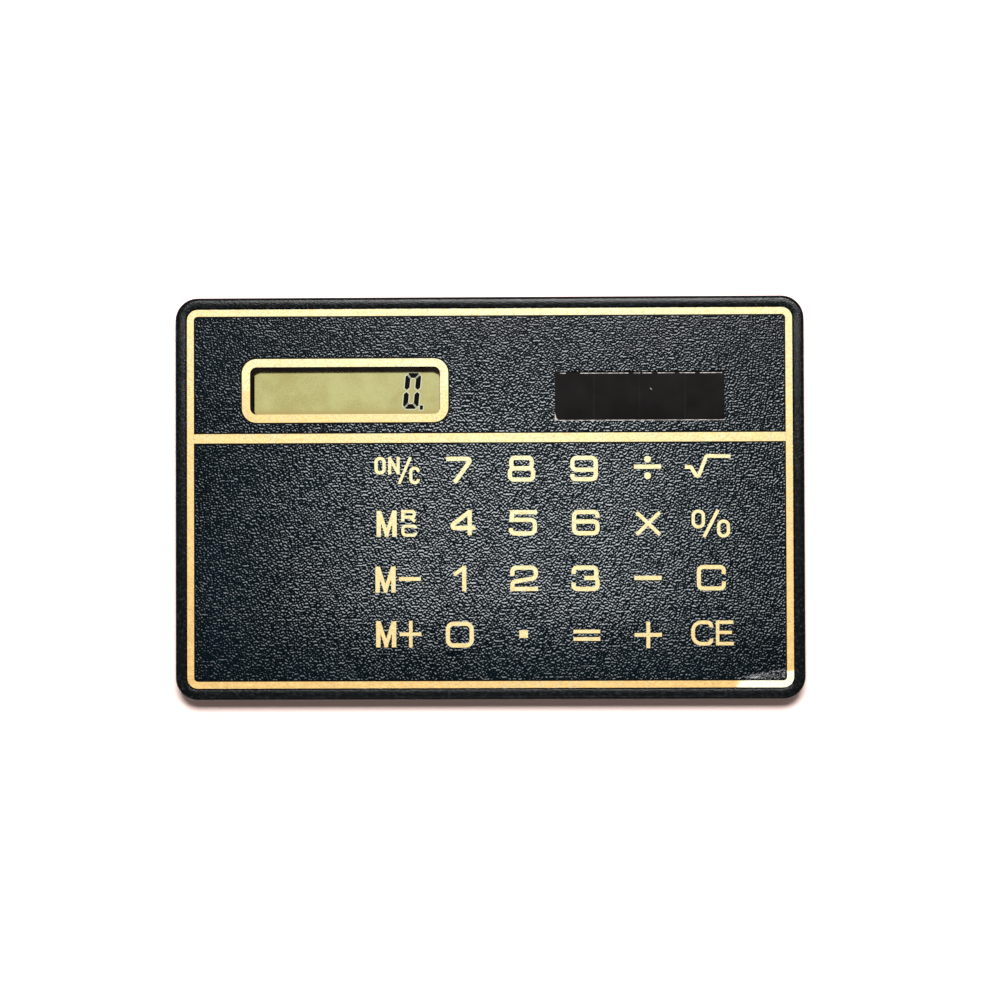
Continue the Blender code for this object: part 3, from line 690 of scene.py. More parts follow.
def laminate(name, base):
    """Paper laminate: fibres in two directions under a thin varnish."""
    shader = Shader(name, base, 0.4)
    weave = shader.noise(0.8 * MM, 4.0, 0.6, shader.scaled_place(1, 9, 1))
    dark = toned(base, 0.7)
    shader.use("Base Color", shader.mixed(shader.ranged(weave, 0.35, 0.65), dark, base))
    return shader.material


def foam(name, base):
    """Open-cell foam."""
    shader = Shader(name, base, 0.95)
    cells = shader.node("ShaderNodeTexVoronoi", Scale=1 / (0.35 * MM))
    shader.link(shader.place, cells.inputs["Vector"])
    dark = toned(base, 0.35)
    shader.use("Base Color", shader.mixed(shader.ranged(cells.outputs["Distance"], 0.2, 0.7), dark, base))
    shader.use("Normal", shader.bump(cells.outputs["Distance"], 0.1 * MM, 0.8))
    return shader.material


def clear_glass(name, base):
    """Thin display glass with a faint green edge."""
    shader = Shader(name, base, 0.05, Transmission_Weight=0.9, IOR=1.5)
    shader.use("Roughness", shader.ranged(shader.noise(3 * MM), 0.3, 0.7, 0.03, 0.07))
    return shader.material


# ---- Case ----


def case_levels(sizes):
    """Loops of the tray, from the underside out, up and over the rim, and in to the floor."""
    full = CASE_HIGH - CASE_LOW
    inner_corner = sizes.case_corner - sizes.rim_width

    def ring(inset, height):
        if inset < sizes.rim_width - sizes.rim_break:
            inset -= sizes.rim_swell
        size = (full.x - 2 * inset, full.y - 2 * inset)
        return outline(size, max(sizes.case_corner - inset, inner_corner), sizes.corner_steps), height

    top = CASE_HIGH.z
    levels = [ring(sizes.edge_tuck * sine, sizes.edge_rise * cosine) for sine, cosine in quarter_turn(6)]
    levels += [ring(sizes.rim_round * cosine, top - sizes.rim_round * sine) for sine, cosine in quarter_turn(6)]
    levels += [
        ring(sizes.rim_width - sizes.rim_break * sine, top - sizes.rim_break * cosine)
        for sine, cosine in quarter_turn(3)
    ]
    return [*levels, ring(sizes.rim_width, sizes.floor_thickness)]


def case_inside(sizes):
    """Ribs under the board and round seats for the screws."""
    sunk, gap = 0.2 * MM, 0.05 * MM
    rib_width, rib_end, rib_inset, seat_radius = 0.8 * MM, 6 * MM, 1 * MM, 2.2 * MM
    low = sizes.floor_thickness - sunk
    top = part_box("circuit_board")[0].z - gap
    board = extent("circuit_board")
    centre = middle("circuit_board")
    shells = []
    for side in (-1, 0, 1):
        place = (centre.x, centre.y + side * (board.y / 2 - rib_inset))
        rib = outline((board.x - rib_end, rib_width), 0.1 * MM, 2, place)
        shells.append(prism(rib, low, top))
    for corner in SCREWS:
        shells.append(turned(((seat_radius, low), (seat_radius, top)), middle(f"screw_{corner}").xy))
    return merged(shells)


def screw_holes():
    head = extent("screw_front_left").x / 2 + 0.06 * MM
    neck = 0.62 * MM
    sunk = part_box("screw_front_left")[0].z
    profile = ((head, -0.2 * MM), (head, sunk + 0.03 * MM), (neck, sunk + 0.66 * MM), (neck, 2 * MM))
    return merged([turned(profile, middle(f"screw_{corner}").xy) for corner in SCREWS])


# ---- Film, patches and pads ----


def beyond_crease(point):
    """How far a point lies past the slanting crease of the film's loose corner, and how far along it."""
    start = Vector((SHEET_HIGH.x - 8.2 * MM, SHEET_LOW.y + 1.2 * MM))
    end = Vector((SHEET_HIGH.x - 0.1 * MM, SHEET_LOW.y + 2.45 * MM))
    along = (end - start).normalized()
    beyond = (point[0] - start.x) * along.y - (point[1] - start.y) * along.x
    nearness = min(max((point[0] - start.x) / (6 * MM), 0.0), 1.0)
    return beyond, nearness


def lifted(point, sizes):
    """Beyond the crease the film and its border curl up from the plate."""
    beyond, nearness = beyond_crease(point)
    return sizes.corner_lift * min(max(beyond / (2.4 * MM), 0.0), 1.0) ** 0.8 * min(3 * nearness, 1.0)


def creased(point, sizes):
    """Height share of the wrinkles beside the crease, inside the gold border."""
    beyond, nearness = beyond_crease(point)
    edge = sizes.border_inset + sizes.border_line
    inside = min(SHEET_HIGH.x - edge - point[0], point[1] - SHEET_LOW.y - edge) / (0.25 * MM)
    wave = 0.09 * MM * math.sin(point[0] / (0.21 * MM))
    ridges = sum(
        math.exp(-(((beyond + wave - place * nearness * MM) / (0.10 * MM)) ** 2)) for place in (-0.1, 0.35, 0.8)
    )
    return min(ridges, 1.0) * min(nearness * 2, 1.0) * min(max(inside, 0.0), 1.0)


def lift_corner(piece, sizes):
    for vertex in piece.data.vertices:
        vertex.co.z += lifted(vertex.co, sizes)


def film_body(sizes):
    border = outline(
        (SHEET_HIGH.x - SHEET_LOW.x, SHEET_HIGH.y - SHEET_LOW.y),
        sizes.film_corner,
        sizes.corner_steps,
        SHEET_MIDDLE.xy,
    )
    window = outline((sizes.window_length, sizes.window_height), sizes.window_corner, 8, window_middle(sizes))
    cell = outline(
        (sizes.cell_window_length, sizes.cell_window_height), 0.25 * MM, 4, middle("solar_cell").xy
    )
    keypad = outline(KEYPAD_SIZE, 1e-6, 1, KEYPAD_MIDDLE.xy)
    bm = plate(border, [window, cell, keypad], SHEET_LOW.z, SHEET_TOP)
    corner = (SHEET_HIGH.x - 12.2 * MM, SHEET_LOW.y + 0.1 * MM)
    cut_grid(bm, corner, (SHEET_HIGH.x, SHEET_LOW.y + 3.6 * MM), 0.15 * MM)
    return bm


def window_middle(sizes):
    """The glass is set up from the window's middle, towards the opening's shadow."""
    glass = middle("lcd_polariser")
    return Vector((glass.x, glass.y - sizes.window_shift))


def follow_key(piece):
    """Bakes the piece's placement into its mesh."""
    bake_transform(piece)


def patch_mesh(name, sizes):
    """A thin slab over one key, with enough points to bend."""
    centre = KEY_MIDDLES[name]
    across, down = round(PITCH_X / sizes.patch_step), round(PITCH_Y / sizes.patch_step)
    bm = bmesh.new()

    def sheet(height):
        return [
            [
                bm.verts.new((centre.x + right * PITCH_X, centre.y + up * PITCH_Y, height))
                for right in [i / across - 0.5 for i in range(across + 1)]
            ]
            for up in [j / down - 0.5 for j in range(down + 1)]
        ]

    def rim(rows):
        return rows[0] + [row[-1] for row in rows[1:]] + rows[-1][-2::-1] + [row[0] for row in rows[-2:0:-1]]

    low, high = sheet(SHEET_TOP - sizes.patch_thickness), sheet(SHEET_TOP)
    for under, rows in ((True, low), (False, high)):
        for low_row, high_row in zip(rows, rows[1:]):
            for i in range(across):
                corners = [low_row[i], low_row[i + 1], high_row[i + 1], high_row[i]]
                bm.faces.new(reversed(corners) if under else corners)
    below, above = rim(low), rim(high)
    for i in range(len(below)):
        j = (i + 1) % len(below)
        bm.faces.new((below[i], below[j], above[j], above[i]))
    return bm


def pad_mesh(name, sizes):
    """A key's silicone pad: carbon pill, flange and a post with a softened top."""
    centre = KEY_MIDDLES[name].xy
    low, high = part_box(f"key_{name}")
    flange_x, flange_y = high.x - low.x, high.y - low.y
    post_x, post_y = flange_x - 2 * sizes.key_flange, flange_y - 2 * sizes.key_flange
    flange_low = low.z + 0.30 * MM
    flange_high = flange_low + 0.30 * MM
    top = SHEET_TOP - sizes.patch_thickness - 0.02 * MM
    pill = outline((3.2 * MM, 2.2 * MM), 1.1 * MM, 6, centre)
    flange = outline((flange_x, flange_y), 1.2 * MM, 6, centre)
    post_corner, rounding = 0.7 * MM, 0.25 * MM
    post = outline((post_x, post_y), post_corner, 6, centre)
    levels = [(pill, low.z), (pill, flange_low), (flange, flange_low), (flange, flange_high)]
    levels.append((post, flange_high + 0.05 * MM))
    for sine, cosine in quarter_turn(3):
        inset = rounding * cosine
        size = (post_x - 2 * inset, post_y - 2 * inset)
        levels.append((outline(size, post_corner, 6, centre), top - rounding * sine))
    return loft(levels)


# ---- Foil and legends ----


def foil_frame_tree():
    """A closed band of foil: a rounded rectangle swept with a flat strip."""
    tree, given, result = new_tree(
        "foil_frame",
        {
            "Length": 0.08,
            "Width": 0.05,
            "Corner": 0.001,
            "Line": 0.001,
            "Thickness": 2e-5,
            "Spacing": 1.5e-4,
            "Centre": "Vector",
            "Material": "Material",
        },
    )
    path = add_node(tree, "GeometryNodeCurvePrimitiveQuadrilateral", {"mode": "RECTANGLE"})
    fillet = add_node(tree, "GeometryNodeFilletCurve", {"mode": "POLY"}, Count=10)
    even = add_node(tree, "GeometryNodeResampleCurve", {"mode": "LENGTH"})
    strip = add_node(tree, "GeometryNodeCurvePrimitiveQuadrilateral", {"mode": "RECTANGLE"})
    sweep = add_node(tree, "GeometryNodeCurveToMesh")
    flat = add_node(tree, "GeometryNodeSetShadeSmooth", Shade_Smooth=False)
    moved = add_node(tree, "GeometryNodeSetPosition")
    wire(
        tree,
        (given, "Length", path, "Width"),
        (given, "Width", path, "Height"),
        (path, "Curve", fillet, "Curve"),
        (given, "Corner", fillet, "Radius"),
        (fillet, "Curve", even, "Curve"),
        (given, "Spacing", even, "Length"),
        (given, "Line", strip, "Width"),
        (given, "Thickness", strip, "Height"),
        (even, "Curve", sweep, "Curve"),
        (strip, "Curve", sweep, "Profile Curve"),
        (sweep, "Mesh", flat, "Geometry"),
        (flat, "Geometry", moved, "Geometry"),
        (given, "Centre", moved, "Offset"),
    )
    return finish_tree(tree, moved, given, result)


def rounded_path(points, closed):
    """Points along a line whose corners are rounded. Each point is (x, y) or (x, y, radius)."""
    count = len(points)
    path = []
    for i, point in enumerate(points):
        here = Vector(point[:2])
        radius = point[2] if len(point) > 2 else 0
        if not radius or (not closed and i in (0, count - 1)):
            path.append(here)
            continue
        before = (Vector(points[i - 1][:2]) - here).normalized()
        after = (Vector(points[(i + 1) % count][:2]) - here).normalized()
        half = before.angle(after) / 2
        reach = radius / math.tan(half)
        hub = here + (before + after).normalized() * (radius / math.sin(half))
        first = here + before * reach - hub
        last = here + after * reach - hub
        steps = 6
        turn = first.angle_signed(last)
        for step in range(steps + 1):
            sine, cosine = math.sin(-turn * step / steps), math.cos(-turn * step / steps)
            path.append(hub + Vector((first.x * cosine - first.y * sine, first.x * sine + first.y * cosine)))
    return path


def band_sides(path, width, closed):
    """The two edges of a band along a path, mitred at its corners."""
    count = len(path)
    left, right = [], []
    for i, here in enumerate(path):
        before = path[i - 1] if closed or i > 0 else here - (path[1] - here)
        after = path[(i + 1) % count] if closed or i < count - 1 else here + (here - path[i - 1])
        into = (here - before).normalized()
        out = (after - here).normalized()
        normal = Vector((-into.y - out.y, into.x + out.x)).normalized()
        spread = width / 2 / max(normal.dot(Vector((-out.y, out.x))), 0.45)
        left.append(here + normal * spread)
        right.append(here - normal * spread)
    return left, right


def stroke(points, width, closed=False):
    """A thin flat band, as a closed mesh one unit thick, from a line in millimetres. One point makes a dot."""
    if len(points) == 1:
        return plate(circle(width / 2, points[0], 24), [], 0, 1)
    left, right = band_sides(rounded_path(points, closed), width, closed)
    if closed:
        outer, inner = (left, right) if abs(signed_area(left)) > abs(signed_area(right)) else (right, left)
        return plate(outer, [inner], 0, 1)
    return plate(left + right[::-1], [], 0, 1)


def box_loop(half_x, half_y, radius, centre=(0, 0)):
    x, y = centre
    return [(x + sx * half_x, y + sy * half_y, radius) for sx, sy in ((-1, -1), (1, -1), (1, 1), (-1, 1))]


def letter_m(x, y, stem):
    """A bold, narrow M."""
    return [
        ([(x - 1.08, y - 1.78), (x - 1.08, y + 1.78)], stem),
        ([(x + 1.08, y - 1.78), (x + 1.08, y + 1.78)], stem),
        ([(x - 1.02, y + 1.72), (x, y - 1.45)], stem * 0.86),
        ([(x + 1.02, y + 1.72), (x, y - 1.45)], stem * 0.86),
        ([(x - 0.26, y - 1.5), (x + 0.26, y - 1.5)], 0.56),
    ]


def legend_strokes(w):
    """Each key's legend, in millimetres about its middle: strokes (points, width), and True where closed."""
    thin = w * 0.78
    return {
        "0": [(box_loop(1.63, 1.48, 0.78, (-0.08, -0.05)), w, True)],
        "1": [([(0.55, -1.62), (0.55, 1.85)], w), ([(-0.85, 0.62), (0.50, 1.60)], w * 0.85)],
        "2": [
            (
                [(-1.42, 0.48), (-1.42, 1.58, 0.5), (1.78, 1.58, 0.6), (1.78, 0.15, 0.55),
                 (-1.42, -0.36, 0.5), (-1.42, -1.33), (2.08, -1.33)],
                w,
            )
        ],
        "3": [
            ([(-1.60, 0.68), (-1.60, 1.56, 0.5), (1.50, 1.56, 0.5), (1.50, 0.14, 0.45), (-0.15, 0.14)], w),
            ([(0.85, 0.14), (1.65, 0.14, 0.45), (1.65, -1.36, 0.5), (-1.62, -1.36, 0.5), (-1.62, -0.48)], w),
        ],
        "4": [
            ([(2.1, -0.46), (-1.62, -0.46, 0.3), (1.32, 1.75)], w),
            ([(1.32, 2.0), (1.32, -1.45)], w),
        ],
        "5": [
            (
                [(1.98, 1.66), (-1.42, 1.66), (-1.52, 0.62), (1.68, 0.62, 0.6), (1.68, -1.23, 0.6),
                 (-1.55, -1.23, 0.5), (-1.60, -0.50)],
                w,
            )
        ],
        "6": [
            (
                [(1.68, 0.88), (1.68, 1.66, 0.45), (-1.52, 1.66, 0.6), (-1.52, -1.24, 0.6), (1.68, -1.24, 0.6),
                 (1.68, 0.36, 0.55), (0.4, 0.36)],
                w,
            ),
            ([(0.6, 0.36), (-1.4, 0.36)], w),
        ],
        "7": [([(-1.85, 1.52), (1.62, 1.52, 0.3), (-0.72, -1.72)], w)],
        "8": [
            (box_loop(1.40, 0.72, 0.5, (-0.12, 0.90)), w, True),
            (box_loop(1.60, 0.76, 0.55, (-0.12, -0.60)), w, True),
        ],
        "9": [
            (
                [(-1.72, -0.62), (-1.72, -1.34, 0.45), (1.48, -1.34, 0.6), (1.48, 1.58, 0.6),
                 (-1.72, 1.58, 0.6), (-1.72, -0.04, 0.55), (-0.4, -0.04)],
                w,
            ),
            ([(-0.6, -0.04), (1.4, -0.04)], w),
        ],
        "point": [([(-0.50, 0.0), (0.68, 0.0)], 1.05)],
        "equals": [([(-1.66, y), (2.0, y)], 0.50) for y in (0.32, -0.70)],
        "plus": [([(-1.87, -0.16), (1.87, -0.16)], 0.52), ([(0, -1.97), (0, 1.65)], 0.52)],
        "minus": [([(-1.87, 0.12), (1.87, 0.12)], w)],
        "multiply": [([(-1.52, 1.58), (1.64, -1.45)], 0.5), ([(-1.52, -1.45), (1.64, 1.58)], 0.5)],
        "divide": [
            ([(-1.85, 0.34), (1.85, 0.34)], w),
            ([(0, 1.36)], 0.94),
            ([(0, -0.90)], 0.94),
        ],
        "root": [
            (
                [(-3.45, 0.25), (-2.62, 0.30, 0.28), (-1.72, -1.32, 0.28), (-0.52, 1.78, 0.28), (2.78, 1.72)],
                0.5,
            )
        ],
        "percent": [
            (box_loop(0.69, 1.07, 0.64, (-1.66, 0.65)), thin, True),
            (box_loop(0.66, 1.00, 0.62, (1.78, -0.66)), thin, True),
            ([(1.05, 1.90), (-0.90, -1.82)], thin),
        ],
        "clear": [
            ([(1.78, 0.62), (1.78, 1.58, 0.5), (-1.62, 1.58, 0.55), (-1.62, -1.34, 0.55), (1.78, -1.34, 0.5),
              (1.78, -0.40)], 0.55)
        ],
        "clear_entry": [
            ([(0.06, 0.85), (0.02, 1.54, 0.62), (-2.45, 1.54, 1.15), (-2.45, -1.40, 1.15), (0.02, -1.40, 0.62),
              (0.06, -0.70)], 0.5),
            ([(3.05, 1.54), (0.90, 1.54), (0.90, -1.38), (3.10, -1.38)], 0.47),
            ([(0.90, 0.15), (2.85, 0.15)], 0.45),
        ],
        "memory_plus": [
            *letter_m(-1.60, 0.02, 0.60),
            ([(0.24, 0.02), (3.22, 0.02)], 0.48),
            ([(1.77, -1.78), (1.77, 1.86)], 0.48),
        ],
        "memory_minus": [*letter_m(-1.67, 0.0, 0.60), ([(0.18, 0.08), (3.16, 0.08)], 0.52)],
        "memory_recall": [
            *letter_m(-1.50, 0.15, 0.60),
            ([(0.72, 0.46), (0.72, 2.04)], 0.44),
            ([(0.60, 1.83), (2.32, 1.83, 0.36), (2.32, 1.06, 0.36), (0.60, 1.06)], 0.42),
            ([(1.70, 1.06), (2.40, 0.46)], 0.44),
            ([(2.48, -0.50), (2.46, -0.18, 0.3), (0.72, -0.18, 0.4), (0.72, -1.42, 0.4), (2.46, -1.42, 0.3),
              (2.48, -1.08)], 0.42),
        ],
        "on_clear": [
            (box_loop(0.55, 0.98, 0.5, (-2.38, 0.62)), 0.45, True),
            ([(-1.06, -0.58), (-1.06, 1.80)], 0.42),
            ([(0.10, -0.58), (0.10, 1.80)], 0.42),
            ([(-1.10, 1.70), (0.14, -0.48)], 0.42),
            ([(1.79, 1.78), (0.22, -1.88)], 0.38),
            ([(2.86, -0.22), (2.84, 0.26, 0.45), (1.84, 0.26, 0.5), (1.84, -1.74, 0.5), (2.84, -1.74, 0.45),
              (2.86, -1.24)], 0.42),
        ],
    }


def foil_height(sizes):
    return SHEET_TOP - sizes.foil_thickness / 2


def legend(title, centre, strokes, look, sizes, margin=0.0):
    """One key's legend: its strokes, joined into one thin foil, or the lower scorched margin round them."""
    thickness = sizes.foil_thickness * (0.6 if margin else 1.0)
    shells = []
    for points, width, *closed in strokes:
        bm = stroke(points, width + 2 * margin / MM, bool(closed))
        for vertex in bm.verts:
            vertex.co = (
                centre.x + vertex.co.x * MM,
                centre.y + vertex.co.y * MM,
                foil_height(sizes) + vertex.co.z * thickness,
            )
        shells.append(bm)
    piece = add_piece(title, shells[0], look)
    return with_booleans(piece, [("UNION", bm) for bm in shells[1:]])


# ---- Display ----


def segment_polygons(sizes):
    """The six lit segments of a 0 about its middle, as six-sided outlines."""
    half_w = (sizes.digit_width - sizes.digit_stroke) / 2
    half_h = (sizes.digit_height - sizes.digit_stroke) / 2
    s = sizes.digit_stroke / 2
    gap = 0.13 * MM

    def upright(x, side):
        outer = s if x > 0 else -s
        tip = half_h + 0.5 * s - gap
        points = [(x, gap), (x + outer, gap + 0.8 * s), (x + outer, tip - 0.5 * s), (x + 0.4 * outer, tip)]
        points += [(x - outer, half_h - s - gap), (x - outer, gap + s)]
        return [(across, side * up) for across, up in points]

    def level(side):
        reach = half_w + 0.4 * s - gap
        half = [(reach - 0.3 * s, half_h + s), (reach, half_h + 0.6 * s), (half_w - s - gap, half_h - s)]
        points = [(-across, up) for across, up in half[::-1]] + half
        return [(across, side * up) for across, up in points]

    uprights = [upright(x, side) for x, side in ((half_w, 1), (half_w, -1), (-half_w, -1), (-half_w, 1))]
    return [level(1), level(-1), *uprights]


def grown_polygon(points, amount):
    """An outline pushed outwards from its own middle by a fixed amount."""
    loop = [Vector(point) for point in points]
    if signed_area(loop) < 0:
        loop.reverse()
    if not amount:
        return loop
    pushed = []
    for i, here in enumerate(loop):
        into = (here - loop[i - 1]).normalized()
        out = (loop[(i + 1) % len(loop)] - here).normalized()
        normal = Vector((into.y + out.y, -into.x - out.x)).normalized()
        pushed.append(here + normal * amount / max(normal.dot(Vector((out.y, -out.x))), 0.5))
    return pushed


def digit_mesh(sizes, centre, grow, low, high):
    """A leaning 0 with its decimal point."""
    lean = math.tan(math.radians(5.5))
    polygons = segment_polygons(sizes)
    dot = 0.22 * MM
    base = -sizes.digit_height / 2 - 0.12 * MM
    place = sizes.digit_width / 2 + 0.43 * MM
    left, right, top = place - dot, place + dot, base + 2.7 * dot
    polygons.append([(left, base), (right, base), (right, top), (left, top)])
    shells = []
    for points in polygons:
        grown_loop = grown_polygon(points, grow)
        loop = [Vector((centre.x + point.x + lean * point.y, centre.y + point.y)) for point in grown_loop]
        shells.append(prism(loop, low, high))
    return shells


# ---- Screws, contacts and cell lines ----


def screw_tree():
    """Countersunk screws with a cross in the head, one at each corner of a rectangle."""
    tree, given, result = new_tree(
        "case_screws",
        {
            "Spread X": 0.07,
            "Spread Y": 0.04,
            "Head Radius": 0.0012,
            "Head Height": 0.0006,
            "Shank Radius": 0.00055,
            "Length": 0.0026,
            "Cross": "Vector",
            "Cross Turned": "Vector",
            "Base": "Vector",
            "Material": "Material",
        },
    )
    head = add_node(tree, "GeometryNodeMeshCone", {"fill_type": "NGON"}, Vertices=40)
    shank = add_node(tree, "GeometryNodeMeshCylinder", {"fill_type": "NGON"}, Vertices=24)
    half = add_node(tree, "ShaderNodeMath", {"operation": "MULTIPLY"})
    half.inputs[1].default_value = 0.5
    wire(
        tree,
        (given, "Shank Radius", head, "Radius Top"),
        (given, "Head Radius", head, "Radius Bottom"),
        (given, "Head Height", head, "Depth"),
        (given, "Shank Radius", shank, "Radius"),
        (given, "Length", shank, "Depth"),
        (given, "Length", half, 0),
    )
    rise = add_node(tree, "ShaderNodeCombineXYZ")
    raised = add_node(tree, "GeometryNodeTransform")
    body = add_node(tree, "GeometryNodeMeshBoolean", {"operation": "UNION", "solver": "EXACT"})
    cut = add_node(tree, "GeometryNodeMeshBoolean", {"operation": "DIFFERENCE", "solver": "EXACT"})
    wire(
        tree,
        (half, "Value", rise, "Z"),
        (shank, "Mesh", raised, "Geometry"),
        (rise, "Vector", raised, "Translation"),
        (head, "Mesh", body, "Mesh 2"),
        (raised, "Geometry", body, "Mesh 2"),
        (body, "Mesh", cut, "Mesh 1"),
    )
    for label in ("Cross", "Cross Turned"):
        bar = add_node(tree, "GeometryNodeMeshCube")
        wire(tree, (given, label, bar, "Size"), (bar, "Mesh", cut, "Mesh 2"))
    corners = add_node(tree, "GeometryNodeCurvePrimitiveQuadrilateral", {"mode": "RECTANGLE"})
    points = add_node(tree, "GeometryNodeCurveToPoints", {"mode": "EVALUATED"})
    turn = add_node(tree, "FunctionNodeRandomValue", {"data_type": "FLOAT_VECTOR"})
    turn.inputs[0].default_value = (0, 0, 0)
    turn.inputs[1].default_value = (0, 0, math.pi / 2)
    turn.inputs["Seed"].default_value = 4
    placed = add_node(tree, "GeometryNodeInstanceOnPoints")
    moved = add_node(tree, "GeometryNodeTransform")
    wire(
        tree,
        (given, "Spread X", corners, "Width"),
        (given, "Spread Y", corners, "Height"),
        (corners, "Curve", points, "Curve"),
        (points, "Points", placed, "Points"),
        (cut, "Mesh", placed, "Instance"),
        (turn, 0, placed, "Rotation"),
        (placed, "Instances", moved, "Geometry"),
        (given, "Base", moved, "Translation"),
    )
    return finish_tree(tree, moved, given, result)


def bar_field_tree():
    """Rows of like bars: a few bars side by side at every point of a grid."""
    tree, given, result = new_tree(
        "bar_field",
        {
            "Columns": 6,
            "Rows": 4,
            "Spread X": 0.04,
            "Spread Y": 0.02,
            "Bars": 7,
            "Bar Size": "Vector",
            "Bar Step": "Vector",
            "First Bar": "Vector",
            "Centre": "Vector",
            "Material": "Material",
        },
    )
    bar = add_node(tree, "GeometryNodeMeshCube")
    line = add_node(tree, "GeometryNodeMeshLine", {"mode": "OFFSET"})
    comb = add_node(tree, "GeometryNodeInstanceOnPoints")
    grid = add_node(tree, "GeometryNodeMeshGrid")
    wire(
        tree,
        (given, "Bar Size", bar, "Size"),
        (given, "Bars", line, "Count"),
        (given, "First Bar", line, "Start Location"),
        (given, "Bar Step", line, "Offset"),
        (line, "Mesh", comb, "Points"),
        (bar, "Mesh", comb, "Instance"),
    )
    field = add_node(tree, "GeometryNodeInstanceOnPoints")
    moved = add_node(tree, "GeometryNodeTransform")
    wire(
        tree,
        (given, "Spread X", grid, "Size X"),
        (given, "Spread Y", grid, "Size Y"),
        (given, "Columns", grid, "Vertices X"),
        (given, "Rows", grid, "Vertices Y"),
        (grid, "Mesh", field, "Points"),
        (comb, "Instances", field, "Instance"),
        (field, "Instances", moved, "Geometry"),
        (given, "Centre", moved, "Translation"),
    )
    return finish_tree(tree, moved, given, result)


# ---- Operators ----


def settings():
    scene = bpy.context.scene
    return scene.calculator_sizes, scene.calculator_colours


def look_for(name, make):
    return bpy.data.materials.get(name) or make()


def film_look():
    sizes, colours = settings()
    return look_for("pressed_leatherette", lambda: leatherette(colours, sizes))


def foil_look():
    sizes, colours = settings()
    return look_for("stamped_gold", lambda: gold_foil(colours, sizes))


def margin_look():
    _, colours = settings()
    return look_for("scorched_film", lambda: scorched_film(colours))


def repaint(node, look):
    """Gives a CAD node a new material."""
    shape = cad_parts[node]
    shape.data.materials.clear()
    shape.data.materials.append(look)


class CALCULATOR_OT_case(bpy.types.Operator):
    """Build the case tray and its rim"""

    bl_idname = "calculator.case"
    bl_label = "Case"

    def execute(self, context):
        sizes, colours = settings()
        look = moulded_plastic(colours)
        case = add_piece("case_tray", loft(case_levels(sizes)), look)
        with_booleans(case, [("UNION", case_inside(sizes)), ("DIFFERENCE", screw_holes())])
        set_smooth(case, 30)
        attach(case, "case")
        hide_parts("rear_case")
        repaint("front_plate", plain_plastic("plate_black", (0.0035, 0.0022, 0.0014), 0.12, 0.15))
        return {"FINISHED"}


class CALCULATOR_OT_film(bpy.types.Operator):
    """Build the leatherette film round the keypad"""

    bl_idname = "calculator.film"
    bl_label = "Face Film"

    def execute(self, context):
        sizes, _ = settings()
        film = add_piece("face_film", film_body(sizes), film_look())
        lift_corner(film, sizes)
        wrinkles = [creased(vertex.co, sizes) for vertex in film.data.vertices]
        for vertex, height in zip(film.data.vertices, wrinkles):
            vertex.co.z += 0.05 * MM * height
        film.data.attributes.new("crease", "FLOAT", "POINT").data.foreach_set("value", wrinkles)
        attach(film, "case")
        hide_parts("face_sheet")
        return {"FINISHED"}


class CALCULATOR_OT_keys(bpy.types.Operator):
    """Build each key's silicone pad and the patch of film over it"""

    bl_idname = "calculator.keys"
    bl_label = "Keys"

    def execute(self, context):
        sizes, colours = settings()
        silicone = plain_plastic("key_silicone", colours.pad, 0.6)
        for name in KEY_MIDDLES:
            pad = add_piece(f"pad_{name}", pad_mesh(name, sizes), silicone, 35)
            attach(pad, f"key_{name}")
            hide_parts(f"key_{name}")
            patch = add_piece(f"patch_{name}", patch_mesh(name, sizes), film_look())
            follow_key(patch)
        repaint("keypad_web", silicone)
        return {"FINISHED"}


class CALCULATOR_OT_foil(bpy.types.Operator):
    """Build the gold border, the dividing line and the ring round the display"""

    bl_idname = "calculator.foil"
    bl_label = "Gold Foil"

    def execute(self, context):
        sizes, _ = settings()
        tree = foil_frame_tree()
        film = SHEET_HIGH - SHEET_LOW
        inset = 2 * sizes.border_inset + sizes.border_line
        window = window_middle(sizes)
        y = SHEET_HIGH.y - sizes.divider_drop
        reach = film.x / 2 - sizes.border_inset - sizes.border_line * 0.98
        kinds = (("foil", foil_look(), 0, 1), ("margin", margin_look(), sizes.scorch, 0.4))
        for kind, look, spread, share in kinds:

            def band(name, size, corner, line, centre):
                values = {
                    "Length": size[0],
                    "Width": size[1],
                    "Corner": corner,
                    "Line": line + spread,
                    "Thickness": sizes.foil_thickness * share,
                    "Centre": (centre.x, centre.y, SHEET_TOP),
                    "Material": look,
                }
                return grown(f"{kind}_{name}", tree, values)

            size = (film.x - inset - spread, film.y - inset - spread)
            border = band("border", size, sizes.border_corner - spread / 2, sizes.border_line, SHEET_MIDDLE)
            lift_corner(border, sizes)
            wider = sizes.ring_line + spread
            size = (sizes.window_length + wider, sizes.window_height + wider)
            ring = band("ring", size, sizes.window_corner + wider / 2, sizes.ring_line, window)
            line = [(-reach / MM, y / MM), (reach / MM, y / MM)]
            strokes = [(line, sizes.divider_line / MM)]
            divider = legend(f"{kind}_divider", Vector((0, 0)), strokes, look, sizes, spread)
            if not spread:
                # Painted light: the loose corner's foil turns to the lit gold, and the ring is paler on its far
                # half than on its near half.
                set_tone(border, lambda place: min(lifted(place, sizes) / (0.04 * MM), 1.0) * 2.0)
                set_tone(ring, lambda place: 0.25 * math.copysign(1, place.y - window.y))
                set_tone(divider, lambda place: 0)
            for piece in (border, ring, divider):
                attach(piece, "case")
        return {"FINISHED"}


